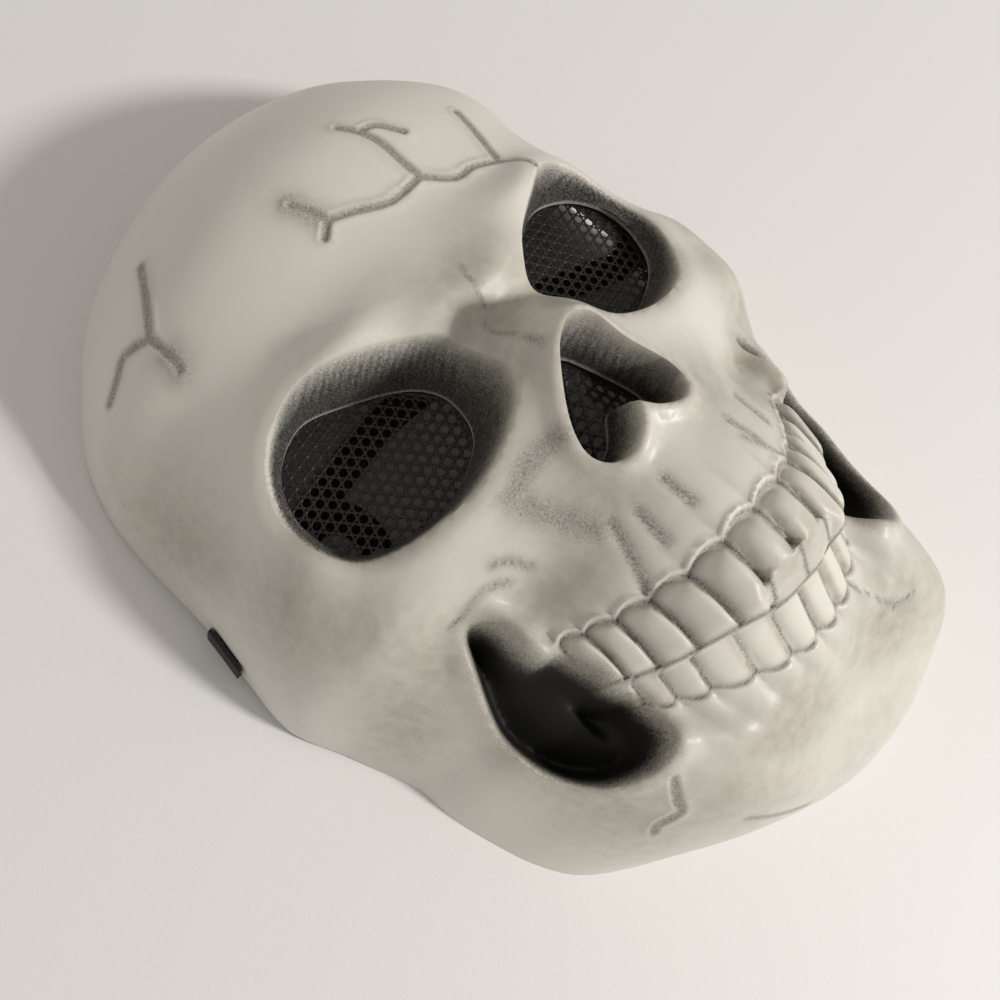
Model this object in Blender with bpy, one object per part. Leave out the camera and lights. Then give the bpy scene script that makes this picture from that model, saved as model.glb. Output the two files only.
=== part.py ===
"""Skull mask: a moulded face with sheer sockets, perforated eye and nose sheets and an elastic strap.

The mask lies face up: +Z out of the face, +Y to the crown, -X the wearer's right. Units are metres.
"""
import math

import bmesh
import bpy
import numpy as np

MM = 0.001

# Driving sizes of the moulding
LENGTH = 256.5 * MM
HALF_WIDTH = 92.5 * MM
DEPTH = 98 * MM
WALL = 2 * MM
RIM_LIFT = 4.5 * MM
RIM_BLEND = 8 * MM
RIM_FADE = 0.12
RIM_SPREAD = 0.14
AT_RIM = 0.05 * MM
CHIN_SWAY = 9 * MM
SWAY_FROM = 0.2
SWAY_OVER = 0.3
JAW_SKEW = 0.085
SKEW_FROM = 0.08
SKEW_OVER = 0.25

# Eye sockets, measured at the crest of each socket's rim
EYE_WIDTH = 50 * MM
EYE_HEIGHT = 42.5 * MM
EYE_ACROSS = 36.5 * MM
EYE_ALONG = 25.6 * MM
SOCKET_WALL = 3.4 * MM
EYE_BEVEL = 1 * MM
SOCKET_LIP = 1.6 * MM
SOCKET_LIP_SPREAD = 4 * MM
BRIDGE_HALF = 18 * MM
SOCKET_FLOOR = 60.5 * MM
SOCKET_SLANT = 0.15

# Nose opening
NOSE_WIDTH = 28 * MM
NOSE_HEIGHT = 28 * MM
NOSE_ALONG = -0.6 * MM
NOSE_WALL = 2.4 * MM
NOSE_BEVEL = 0.6 * MM
NOSE_LIP = 2.5 * MM
NOSE_LIP_SPREAD = 2 * MM
NOSE_LIP_OUT = 0.8
NOSE_FLOOR = 76 * MM
NOSE_FOLD = 8 * MM
NOSE_FOLD_HALF = 0.45 * NOSE_WIDTH

# Cheek hollows
HOLLOW_WIDTH = 23 * MM
HOLLOW_HEIGHT = 54 * MM
HOLLOW_ACROSS = 48.5 * MM
HOLLOW_ALONG = -44.8 * MM
HOLLOW_DEEP = 17 * MM
HOLLOW_WALL = 6 * MM
HOLLOW_BEVEL = 2 * MM
HOLLOW_LIP = 2 * MM
HOLLOW_LIP_SPREAD = 3 * MM

# Teeth
MOUTH_HALF = 42 * MM
GUM_ALONG = -41.4 * MM
UPPER_TALL = 16.5 * MM
LOWER_TALL = 13.5 * MM
TOOTH_PROUD = 3 * MM
MUZZLE_RISE = 22 * MM
JAW_FALL = 16 * MM
WORN_SPREAD = 1.2 * MM
WORN_TUCK = 5 * MM
WORN_REACH = 14 * MM
TUCK_FROM = 0.64 * UPPER_TALL
TUCK_OVER = 0.54 * UPPER_TALL
LOWER_PROUD = 0.75 * TOOTH_PROUD
UPPER_BOW = 1.9 * MM
LOWER_BOW = 1.6 * MM

# A crown's shape: the powers of its section, how much of the space it fills at the gum and at the tip,
# and the shares of its height over which its ends round off
CROWN_SQUARE = 2.6
CROWN_ROUND = 0.55
UPPER_NECK = 0.74
UPPER_WIDE = 0.92
UPPER_RECESS = 0.1
UPPER_DOME = 0.3
UPPER_END = 0.18
LOWER_NECK = 0.78
LOWER_DOME = 0.28
LOWER_END = 0.15
BITE_STEP = 2 * MM
MOUTH_FADE = 4 * MM

# Sheets, strap and the clearance between touching pieces
SHEET = 0.8 * MM
SHEET_LAP = 1.4 * MM
EYE_SHEET_DROP = 1.1 * WALL
NOSE_SHEET_DROP = 1.5 * WALL
STRAP_WIDE = 9.5 * MM
STRAP_THICK = 1.2 * MM
ANCHOR_WIDE = 13 * MM
ANCHOR_TALL = 9 * MM
ANCHOR_ALONG = 24 * MM
ANCHOR_SLACK = 0.8 * MM
GAP = 0.3 * MM

# Mesh fineness, and how wide the finer bands are around each opening
EYE_BAND = 9 * MM
NOSE_BAND = 8 * MM
HOLLOW_BAND = 6 * MM
GUM_BAND = 6 * MM
GRID_ACROSS = 26
GRID_ALONG = 34
RIM_CROWDING = 0.82

# Sections from chin to crown
# along: share of LENGTH; half_width: share of HALF_WIDTH; crest: share of DEPTH
# square and full: the two powers of the section's curve
SECTIONS = [
    # along, half_width, crest, square, full
    (-0.500, 0.000, 0.000, 2.40, 1.17),
    (-0.494, 0.108, 0.068, 2.40, 1.17),
    (-0.481, 0.216, 0.207, 2.50, 1.17),
    (-0.457, 0.363, 0.362, 2.70, 1.17),
    (-0.428, 0.505, 0.464, 2.90, 1.15),
    (-0.393, 0.659, 0.516, 3.00, 1.11),
    (-0.358, 0.763, 0.569, 3.00, 1.10),
    (-0.315, 0.810, 0.680, 2.60, 1.11),
    (-0.260, 0.830, 0.769, 2.30, 1.11),
    (-0.198, 0.847, 0.857, 2.20, 1.18),
    (-0.147, 0.857, 0.885, 2.15, 1.20),
    (-0.073, 0.920, 0.869, 2.15, 1.33),
    (-0.007, 0.985, 0.853, 2.15, 1.59),
    (0.063, 0.966, 0.845, 2.10, 1.81),
    (0.122, 0.941, 0.822, 2.10, 1.76),
    (0.200, 0.932, 0.818, 2.10, 1.65),
    (0.270, 0.912, 0.790, 2.10, 1.64),
    (0.328, 0.858, 0.748, 2.10, 1.65),
    (0.367, 0.786, 0.692, 2.10, 1.66),
    (0.403, 0.695, 0.616, 2.10, 1.72),
    (0.434, 0.602, 0.535, 2.10, 1.78),
    (0.461, 0.461, 0.431, 2.10, 1.84),
    (0.481, 0.331, 0.314, 2.10, 1.95),
    (0.496, 0.147, 0.150, 2.10, 1.95),
    (0.500, 0.000, 0.000, 2.10, 1.95),
]

# Rounded rises and dips, the same on both sides
# across and wide: shares of HALF_WIDTH; along and long: shares of LENGTH; rise: share of DEPTH
RISES = [
    # across, along, rise, wide, long
    (0.000, 0.050, 0.150, 0.090, 0.032),  # nasal bones
    (0.000, -0.022, 0.090, 0.165, 0.055),  # sides of the nose opening
    (0.000, 0.098, -0.055, 0.110, 0.018),  # root of the nose
    (0.000, 0.137, 0.030, 0.100, 0.018),  # between the brows
    (0.130, 0.138, 0.035, 0.080, 0.020),  # inner end of the brow
    (0.330, 0.175, 0.056, 0.170, 0.020),  # brow
    (0.560, 0.185, -0.014, 0.110, 0.022),  # outer brow
    (0.690, 0.250, -0.037, 0.120, 0.022),  # groove over the outer brow
    (0.000, 0.231, -0.015, 0.324, 0.039),  # dip over the brows
    (0.735, -0.019, 0.051, 0.108, 0.035),  # cheekbone
    (0.778, 0.223, -0.076, 0.097, 0.078),  # temple
    (0.000, -0.143, 0.082, 0.216, 0.058),  # upper jaw
    (0.420, -0.085, -0.070, 0.060, 0.022),  # between the upper jaw and the cheekbone's tab
    (0.485, -0.104, 0.050, 0.050, 0.020),  # the cheekbone's tab over the hollow
    (0.560, -0.060, -0.050, 0.070, 0.022),  # under the cheekbone
    (0.000, -0.291, -0.020, 0.324, 0.023),  # under the lower teeth
    (0.410, -0.380, 0.087, 0.125, 0.042),  # corners of the chin
    (0.660, 0.100, -0.013, 0.090, 0.050),  # outer rim of the eye socket
    (0.600, 0.040, -0.042, 0.080, 0.030),  # lower rim of the eye socket
    (0.800, 0.060, 0.030, 0.080, 0.030),  # peak of the cheekbone
    (0.520, -0.272, 0.025, 0.110, 0.030),  # bar of the jaw under the hollow
]

# Outlines, as shares of each opening's half width and half height from its middle
EYE_OUTLINE = [
    # across, along
    (-1.00, -0.02), (-0.78, 0.41), (-0.27, 0.78), (0.25, 1.00), (0.75, 0.74), (1.00, 0.16),
    (0.90, -0.51), (0.52, -0.87), (-0.10, -1.00), (-0.64, -0.84), (-0.94, -0.54),
]
NOSE_SIDE = [
    # across, along, down one side from the peak to the notch
    (0.00, 1.00), (0.34, 0.80), (0.66, 0.27), (0.92, -0.25), (1.00, -0.62), (0.88, -0.90), (0.62, -1.00),
    (0.25, -0.82), (0.00, -0.50),
]
HOLLOW_OUTLINE = [
    # across, along
    (0.30, 1.00), (0.74, 0.59), (1.00, 0.04), (0.83, -0.52), (0.39, -0.89), (-0.30, -1.00),
    (-0.85, -0.84), (-1.00, -0.52), (-0.72, -0.22), (-0.55, 0.12), (-0.38, 0.34), (-0.05, 0.43),
    (0.08, 0.62), (0.04, 0.90),
]

# Teeth on one side, from the middle outwards, as shares of MOUTH_HALF
UPPER_EDGES = (0.0, 0.224, 0.424, 0.598, 0.750, 0.880, 1.0)
LOWER_EDGES = (0.0, 0.190, 0.393, 0.595, 0.726, 0.845, 1.0)

# One side of the plate that the two middle upper teeth are worn into: across and along from GUM_ALONG,
# as shares of UPPER_TALL
WORN_SIDE = [(0.0, -0.61), (0.27, -0.68), (0.52, -0.61), (0.73, -0.79), (0.68, -1.04), (0.36, -1.16), (0.0, -1.18)]

# The lines between which the teeth stand, and how far the jaw stands out at each line
# across: share of MOUTH_HALF; gum and upper_tip: shares of UPPER_TALL; lower_gum: share of LOWER_TALL
# gum_out, tip_out and low_out: shares of DEPTH
TOOTH_LINES = [
    # across, gum, upper_tip, lower_gum, gum_out, tip_out, low_out
    (0.0, 0.00, 1.17, 1.22, 0.022, 0.120, 0.020),
    (0.1, 0.00, 1.17, 1.22, 0.022, 0.118, 0.018),
    (0.2, 0.00, 1.15, 1.18, 0.022, 0.112, 0.010),
    (0.4, -0.01, 0.97, 0.98, 0.008, 0.092, -0.010),
    (0.6, 0.07, 0.84, 0.66, -0.014, 0.030, -0.045),
    (0.7, 0.14, 0.77, 0.47, -0.022, -0.005, -0.080),
    (0.8, 0.24, 0.65, 0.25, -0.031, -0.045, -0.110),
    (0.9, 0.36, 0.50, -0.02, -0.040, -0.052, -0.110),
    (1.0, 0.48, 0.37, -0.35, -0.048, -0.050, -0.080),
]

# The strap's route from anchor to anchor, with a bight and a fold under the right eye
# across: share of HALF_WIDTH; along: share of LENGTH; up: in strap thicknesses
# heading: degrees that the strap's width points, seen from above
STRAP_ROUTE = [
    # across, along, up, heading
    (-0.865, 0.088, 1.2, 90), (-0.757, 0.070, 0.9, 78), (-0.627, 0.043, 0.9, 82), (-0.519, 0.035, 0.9, 100),
    (-0.443, 0.051, 0.9, 145), (-0.411, 0.082, 0.9, 180), (-0.427, 0.111, 0.9, 212), (-0.486, 0.127, 1.0, 250),
    (-0.541, 0.129, 1.2, 270), (-0.580, 0.130, 2.5, 270), (-0.541, 0.132, 3.8, 272), (-0.443, 0.140, 3.4, 284),
    (-0.281, 0.151, 2.6, 278), (-0.130, 0.156, 1.8, 272), (0.020, 0.155, 1.1, 268), (0.216, 0.150, 0.9, 266),
    (0.411, 0.144, 0.9, 262), (0.584, 0.136, 0.9, 252), (0.735, 0.117, 0.9, 244), (0.865, 0.098, 1.2, 262),
]


def curve_through(rows, closed=False, steps=16):
    """Points of a smooth curve through the rows of a table."""
    points = np.asarray(rows, float)
    count = len(points)
    pieces = []
    for i in range(count if closed else count - 1):
        if closed:
            a, b, c, d = (points[(i + k) % count] for k in (-1, 0, 1, 2))
        else:
            a, b, c, d = (points[min(max(i + k, 0), count - 1)] for k in (-1, 0, 1, 2))
        t = np.linspace(0, 1, steps, endpoint=False)[:, None]
        pieces.append(0.5 * (2 * b + (c - a) * t + (2 * a - 5 * b + 4 * c - d) * t**2
                             + (3 * b - a - 3 * c + d) * t**3))
    if not closed:
        pieces.append(points[-1:])
    return np.vstack(pieces)


def ease(t):
    """0 to 1 with a smooth start and end."""
    t = np.clip(t, 0, 1)
    return t * t * (3 - 2 * t)


def nearest(x, y, line):
    """Signed distance to a closed line, negative inside, and the direction away from it."""
    following = np.roll(line, -1, axis=0)
    best = np.full(x.shape, np.inf)
    out_x = np.zeros(x.shape)
    out_y = np.zeros(x.shape)
    inside = np.zeros(x.shape, bool)
    turn = np.sign(np.sum(line[:, 0] * following[:, 1] - following[:, 0] * line[:, 1]))
    for (ax, ay), (bx, by) in zip(line, following):
        run_x, run_y = bx - ax, by - ay
        size = math.hypot(run_x, run_y)
        t = np.clip(((x - ax) * run_x + (y - ay) * run_y) / size**2, 0, 1)
        gap = np.hypot(x - ax - t * run_x, y - ay - t * run_y)
        closer = gap < best
        best = np.where(closer, gap, best)
        out_x = np.where(closer, turn * run_y / size, out_x)
        out_y = np.where(closer, -turn * run_x / size, out_y)
        crosses = (ay > y) != (by > y)
        if run_y != 0:
            inside ^= crosses & (x < (y - ay) * run_x / run_y + ax)
    return np.where(inside, -best, best), out_x, out_y


def outline(table, width, height, across, along, closed=True):
    """An opening's outline in metres."""
    shares = curve_through(table, closed, 8)
    return np.column_stack([across + shares[:, 0] * width / 2, along + shares[:, 1] * height / 2])


WORN_LINE = np.array(WORN_SIDE + [(-a, b) for a, b in WORN_SIDE[-2:0:-1]]) * UPPER_TALL + (0, GUM_ALONG)
MOUTH = curve_through(TOOTH_LINES, steps=8)
STATIONS = curve_through(SECTIONS)
STATIONS[:, 0] = np.maximum.accumulate(STATIONS[:, 0])
EYE_LINE = outline(EYE_OUTLINE, EYE_WIDTH, EYE_HEIGHT, EYE_ACROSS, EYE_ALONG)
HOLLOW_LINE = outline(HOLLOW_OUTLINE, HOLLOW_WIDTH, HOLLOW_HEIGHT, HOLLOW_ACROSS, HOLLOW_ALONG)
NOSE_HALF = outline(NOSE_SIDE, NOSE_WIDTH, NOSE_HEIGHT, 0, NOSE_ALONG, closed=False)
NOSE_LINE = np.vstack([NOSE_HALF, (NOSE_HALF * (-1, 1))[-2:0:-1]])


def section(along):
    """Half width, crest height and the two powers of the section at a place along the face."""
    share = along / LENGTH
    half, crest, square, full = (np.interp(share, STATIONS[:, 0], STATIONS[:, k]) for k in (1, 2, 3, 4))
    return np.maximum(half, 0) * HALF_WIDTH, np.maximum(crest, 0) * DEPTH, square, full


def rim_height(along):
    """Height of the rim over the table, which rises at the temples."""
    return RIM_LIFT * np.exp(-((along - ANCHOR_ALONG) / (RIM_SPREAD * LENGTH))**2)


def arc(t):
    """0 to 1 as a quarter circle rises."""
    return np.sqrt(1 - (1 - np.clip(t, 0, 1))**2)


def rounded(side):
    """A crown's section from one side of the tooth to the other."""
    return np.clip(1 - np.abs(side)**CROWN_SQUARE, 0, 1)**CROWN_ROUND


def crowns(share, along, edges, top, bottom):
    """Where each point lies on its tooth: -1 to 1 across it, and 0 to 1 down it."""
    edges = np.array(edges)
    which = np.clip(np.searchsorted(edges, share, side="right") - 1, 0, len(edges) - 2)
    middle = (edges[which] + edges[which + 1]) / 2
    side = (share - middle) / (edges[which + 1] - edges[which]) * 2
    bow = 1 - side**2
    start = top[0] + top[1] * bow
    end = bottom[0] - bottom[1] * bow
    return side, (start - along) / (start - end)


def tooth_relief(across, along):
    """Height of the muzzle and its two rows of teeth over the plain section."""
    share = np.clip(across / MOUTH_HALF, 0, 1)
    gum, upper_tip, lower_gum, gum_out, tip_out, low_out = (
        np.interp(share, MOUTH[:, 0], MOUTH[:, k]) for k in range(1, 7))
    gum = GUM_ALONG + gum * UPPER_TALL
    tip = GUM_ALONG - upper_tip * UPPER_TALL
    low = GUM_ALONG - UPPER_TALL - lower_gum * LOWER_TALL
    down_upper = np.clip((gum - along) / (gum - tip), 0, 1)
    upper = gum_out + (tip_out - gum_out) * down_upper
    upper = upper * DEPTH * ease((gum + MUZZLE_RISE - along) / MUZZLE_RISE)
    lower = low_out * DEPTH * ease((along - low + JAW_FALL) / JAW_FALL)

    # The upper crowns are narrow at the gum; the middle two end in one worn plate, tucked back at its edge
    side, down = crowns(share, along, UPPER_EDGES, (gum, UPPER_BOW), (tip, 0))
    width = UPPER_NECK + (UPPER_WIDE - UPPER_NECK) * ease(down / 0.6)
    crown = rounded(side / width) * arc((down - UPPER_RECESS) / UPPER_DOME) * arc((1 - down) / UPPER_END)
    worn = ease(-nearest(across, along, WORN_LINE)[0] / WORN_SPREAD)
    tuck = ease((GUM_ALONG - TUCK_FROM - along) / TUCK_OVER) * ease((WORN_REACH - across) / MOUTH_FADE)
    upper = upper + TOOTH_PROUD * np.maximum(crown, worn) - WORN_TUCK * tuck
    relief = upper + (lower - upper) * ease((tip - along) / BITE_STEP)

    # The lower crowns are rounded towards the gum
    side, down = crowns(share, along, LOWER_EDGES, (tip, 0), (low, LOWER_BOW))
    width = UPPER_WIDE + (LOWER_NECK - UPPER_WIDE) * ease((down - 0.4) / 0.6)
    crown = rounded(side / width) * arc(down / LOWER_END) * arc((1 - down) / LOWER_DOME)
    relief = relief + LOWER_PROUD * crown
    return relief * ease((MOUTH_HALF + MOUTH_FADE - across) / MOUTH_FADE)


def face(x, y):
    """Height of the mask's outer face over the table."""
    across = np.abs(x)
    half, crest, square, full = section(y)
    side = np.clip(across / np.maximum(half, 1e-6), 0, 1)
    z = crest * np.clip(1 - side**square, 0, 1)**(1 / full)
    for middle_x, middle_y, rise, wide, long in RISES:
        lump = np.exp(-0.5 * (((across / HALF_WIDTH - middle_x) / wide)**2
                              + ((y / LENGTH - middle_y) / long)**2))
        z = z + rise * DEPTH * lump * ease((1 - side) / RIM_FADE)
    eye, _, _ = nearest(across, y, EYE_LINE)
    nose, _, _ = nearest(x, y, NOSE_LINE)
    hollow, _, _ = nearest(across, y, HOLLOW_LINE)
    outer = ease(across / BRIDGE_HALF - 1)
    z = z + SOCKET_LIP * np.exp(-(eye / SOCKET_LIP_SPREAD - 1)**2) * outer
    z = z + NOSE_LIP * np.exp(-(nose / NOSE_LIP_SPREAD - NOSE_LIP_OUT)**2)
    z = z + HOLLOW_LIP * np.exp(-(hollow / HOLLOW_LIP_SPREAD - 1)**2)
    z = z + tooth_relief(across, y)
    z = z - HOLLOW_DEEP * ease((HOLLOW_BEVEL - hollow) / HOLLOW_WALL)
    z = z + (socket_floor(across) - z) * ease((EYE_BEVEL - eye) / SOCKET_WALL)
    z = z + (nose_floor(across) - z) * ease((NOSE_BEVEL - nose) / NOSE_WALL)
    return np.maximum(z, 0) + rim_height(y) * side**4


def socket_floor(across):
    """The slanting plane at the bottom of an eye socket."""
    return SOCKET_FLOOR - SOCKET_SLANT * across


def nose_floor(across):
    """The bottom of the nose opening, folded up along its middle."""
    return NOSE_FLOOR + NOSE_FOLD * np.clip(1 - across / NOSE_FOLD_HALF, 0, 1)


def inner_face(x, y):
    """Height of the inner face: the outer one, followed one wall inside."""
    lowest = face(x, y) - WALL
    for share in (0.5, 1.0):
        drop = WALL * math.sqrt(1 - share**2)
        for turn in range(8):
            angle = math.tau * turn / 8
            shifted = face(x + share * WALL * math.cos(angle), y + share * WALL * math.sin(angle))
            lowest = np.minimum(lowest, shifted - drop)
    return lowest


def rim_line(count=240):
    """The mask's outline on the table."""
    angle = np.linspace(0, math.tau, count, endpoint=False)
    y = np.sin(angle) * LENGTH / 2
    half = section(y)[0]
    return np.column_stack([np.sign(np.cos(angle)) * half, y])


def to_outline(a, b):
    """Carry the points of a square from -1 to 1 onto the mask's outline, crowded towards the rim."""
    u = a * np.sqrt(1 - b**2 / 2)
    v = b * np.sqrt(1 - a**2 / 2)
    radius = np.maximum(np.hypot(u, v), 1e-9)
    quarter = RIM_CROWDING * math.pi / 2
    crowded = np.sin(np.minimum(radius, 1) * quarter) / math.sin(quarter)
    u, v = u * crowded / radius, v * crowded / radius
    y = np.clip(v, -1, 1) * LENGTH / 2
    reach = np.sqrt(np.clip(1 - v**2, 1e-12, 1))
    return np.clip(u / reach, -1, 1) * section(y)[0], y


def plan(mesh):
    """The x and y of each vertex as arrays."""
    spots = np.array([v.co[:] for v in mesh.verts])
    return spots[:, 0], spots[:, 1]


def refine(mesh, wanted):
    """Halve the edges of the faces whose middle the test wants finer."""
    middles = np.array([f.calc_center_median()[:] for f in mesh.faces])
    chosen = wanted(middles[:, 0], middles[:, 1])
    edges = {e for f, pick in zip(mesh.faces, chosen) if pick for e in f.edges}
    bmesh.ops.subdivide_edges(mesh, edges=list(edges), cuts=1, use_grid_fill=True)


def near_features(x, y):
    """Where the face needs half the grid's spacing."""
    across = np.abs(x)
    eye = nearest(across, y, EYE_LINE)[0]
    nose = nearest(x, y, NOSE_LINE)[0]
    hollow = nearest(across, y, HOLLOW_LINE)[0]
    return (np.abs(eye) < EYE_BAND) | (np.abs(nose) < NOSE_BAND) | (hollow < HOLLOW_BAND) | near_teeth(x, y)


def near_teeth(x, y):
    """Where the face needs a quarter of the grid's spacing."""
    return (np.abs(x) < MOUTH_HALF) & (y < GUM_ALONG + GUM_BAND) & (y > GUM_ALONG - UPPER_TALL - LOWER_TALL)


def openings(x, y):
    """Distance to the nearest edge of an eye or nose hole, negative inside it."""
    eye = nearest(np.abs(x), y, EYE_LINE)[0] + SOCKET_WALL - EYE_BEVEL
    nose = nearest(x, y, NOSE_LINE)[0] + NOSE_WALL - NOSE_BEVEL
    return np.minimum(eye, nose)


def brow_line(x, y):
    """Distance to the top of the nearest eye or nose wall."""
    eye = nearest(np.abs(x), y, EYE_LINE)[0] - EYE_BEVEL
    nose = nearest(x, y, NOSE_LINE)[0] - NOSE_BEVEL
    return np.minimum(eye, nose)


def hollow_line(x, y):
    """Distance to the top of a cheek hollow's wall."""
    return nearest(np.abs(x), y, HOLLOW_LINE)[0] - HOLLOW_BEVEL


def cut_along(mesh, distance):
    """Make edges run along the line where a distance is nought, by sliding or splitting what crosses it."""
    verts = list(mesh.verts)
    spots = np.array([v.co[:] for v in verts])
    gaps = dict(zip(verts, distance(spots[:, 0], spots[:, 1])))
    on_line = set()
    for edge in list(mesh.edges):
        first, second = edge.verts
        if gaps[first] * gaps[second] >= 0:
            continue
        share = gaps[first] / (gaps[first] - gaps[second])
        if share < 0.3 or share > 0.7:
            near, far = (first, second) if share < 0.3 else (second, first)
            share = min(share, 1 - share)
            near.co = near.co.lerp(far.co, share)
            gaps[near] = 0
            on_line.add(near)
    for edge in list(mesh.edges):
        first, second = edge.verts
        if gaps[first] * gaps[second] < 0:
            share = gaps[first] / (gaps[first] - gaps[second])
            middle = bmesh.utils.edge_split(edge, first, share)[1]
            gaps[middle] = 0
            on_line.add(middle)
    bmesh.ops.connect_verts(mesh, verts=list(on_line))


def sway(y):
    """How far the chin hangs to the left of the face's middle."""
    return CHIN_SWAY * ease((-SWAY_FROM * LENGTH - y) / (SWAY_OVER * LENGTH))


def skew(x, y):
    """How far the jaw's left side hangs below its right."""
    return -JAW_SKEW * x * ease((-SKEW_FROM * LENGTH - y) / (SKEW_OVER * LENGTH))


def build_shell():
    """The moulding, one wall thick, open at the back and through the eyes and the nose."""
    mesh = bmesh.new()
    bmesh.ops.create_grid(mesh, x_segments=GRID_ACROSS, y_segments=GRID_ALONG, size=1)
    for vert, x, y in zip(mesh.verts, *to_outline(*plan(mesh))):
        vert.co = (x, y, 0)
    refine(mesh, near_features)
    refine(mesh, near_teeth)
    for line in (brow_line, hollow_line, openings):
        cut_along(mesh, line)

    # Open the eyes and the nose
    middles = np.array([f.calc_center_median()[:] for f in mesh.faces])
    inside = openings(middles[:, 0], middles[:, 1]) < 0
    bmesh.ops.delete(mesh, geom=[f for f, gone in zip(mesh.faces, inside) if gone], context="FACES")

    # The inner face is a copy of the outer one, drawn in by one wall
    outer_faces = list(mesh.faces)
    copy = bmesh.ops.duplicate(mesh, geom=list(mesh.verts) + list(mesh.edges) + outer_faces)
    inner_verts = [g for g in copy["geom"] if isinstance(g, bmesh.types.BMVert)]
    inner_faces = [g for g in copy["geom"] if isinstance(g, bmesh.types.BMFace)]
    bmesh.ops.reverse_faces(mesh, faces=inner_faces)
    partner = copy["vert_map"]
    outer_verts = [v for v in mesh.verts if v not in set(inner_verts)]
    edge_pairs = [(e, e.verts[0], e.verts[1]) for e in mesh.edges if e.is_boundary
                  and e.verts[0] in partner and e.link_faces[0] in set(outer_faces)]

    x, y = (np.array([v.co[k] for v in outer_verts]) for k in (0, 1))
    rim, out_x, out_y = nearest(x, y, rim_line())
    pull = WALL * np.clip(1 + rim / RIM_BLEND, 0, 1)
    in_x = x - out_x * pull
    in_y = y - out_y * pull
    z = face(x, y)
    in_z = inner_face(in_x, in_y)
    at_rim = rim > -AT_RIM
    z = np.where(at_rim, rim_height(y), z)
    in_z = np.where(at_rim, rim_height(y), in_z)
    for vert, *spot in zip(outer_verts, x + sway(y), y + skew(x, y), z):
        vert.co = spot
    for vert, *spot in zip(outer_verts, in_x + sway(in_y), in_y + skew(in_x, in_y), in_z):
        partner[vert].co = spot
    for edge, first, second in edge_pairs:
        mesh.faces.new((second, first, partner[first], partner[second]))
    bmesh.ops.recalc_face_normals(mesh, faces=mesh.faces)
    return mesh


def build_sheet(line, height, lap_from):
    """A flat sheet behind an opening, following its outline and lapping under the hole's edge."""
    following = np.roll(line, -1, axis=0)
    before = np.roll(line, 1, axis=0)
    run = following - before
    run /= np.linalg.norm(run, axis=1)[:, None]
    turn = np.sign(np.sum(line[:, 0] * following[:, 1] - following[:, 0] * line[:, 1]))
    edge = line - np.column_stack([run[:, 1], -run[:, 0]]) * turn * lap_from
    mesh = bmesh.new()
    middle = edge.mean(axis=0)
    rings = []
    for share in (0.0, 0.45, 1.0):
        if share == 0:
            rings.append([mesh.verts.new((*middle, 0))])
        else:
            rings.append([mesh.verts.new((*(middle + (spot - middle) * share), 0)) for spot in edge])
    centre, inner, outer = rings
    count = len(edge)
    for i in range(count):
        j = (i + 1) % count
        mesh.faces.new((centre[0], inner[i], inner[j]))
        mesh.faces.new((inner[i], outer[i], outer[j], inner[j]))
    for vert in mesh.verts:
        vert.co.z = height(vert.co.x, vert.co.y)
    thicken(mesh, SHEET)
    return mesh


def thicken(mesh, thick):
    """Give a sheet its thickness, straight down."""
    bmesh.ops.recalc_face_normals(mesh, faces=mesh.faces)
    if sum(f.normal.z for f in mesh.faces) < 0:
        bmesh.ops.reverse_faces(mesh, faces=mesh.faces)
    top_faces = list(mesh.faces)
    rim = [(e.verts[0], e.verts[1]) for e in mesh.edges if e.is_boundary]
    copy = bmesh.ops.duplicate(mesh, geom=list(mesh.verts) + list(mesh.edges) + top_faces)
    below = [g for g in copy["geom"] if isinstance(g, bmesh.types.BMVert)]
    bmesh.ops.reverse_faces(mesh, faces=[g for g in copy["geom"] if isinstance(g, bmesh.types.BMFace)])
    for vert in below:
        vert.co.z -= thick
    partner = copy["vert_map"]
    for first, second in rim:
        mesh.faces.new((first, second, partner[second], partner[first]))
    bmesh.ops.recalc_face_normals(mesh, faces=mesh.faces)


def eye_sheet_height(x, y):
    """The top of an eye sheet, one wall and a gap under the floor of its socket."""
    return socket_floor(abs(x)) - EYE_SHEET_DROP - GAP


def nose_sheet_height(x, y):
    """The top of the nose sheet, folded up along its middle."""
    return nose_floor(abs(x)) - NOSE_SHEET_DROP - GAP


def wall_across(height, along):
    """Half width of the outer face at a height over the table, near the rim."""
    half, crest, square, full = section(along)
    share = np.clip((height - rim_height(along)) / crest, 0, 1)
    return half * (1 - share**full)**(1 / square)


def anchor_leg(along):
    """The strap anchor's inner leg: the across and up of its inner side, bottom and top."""
    low = rim_height(along)
    reach = [wall_across(low + up, along) - WALL - 2 * GAP - STRAP_THICK for up in (0, ANCHOR_TALL)]
    return reach, low


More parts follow.
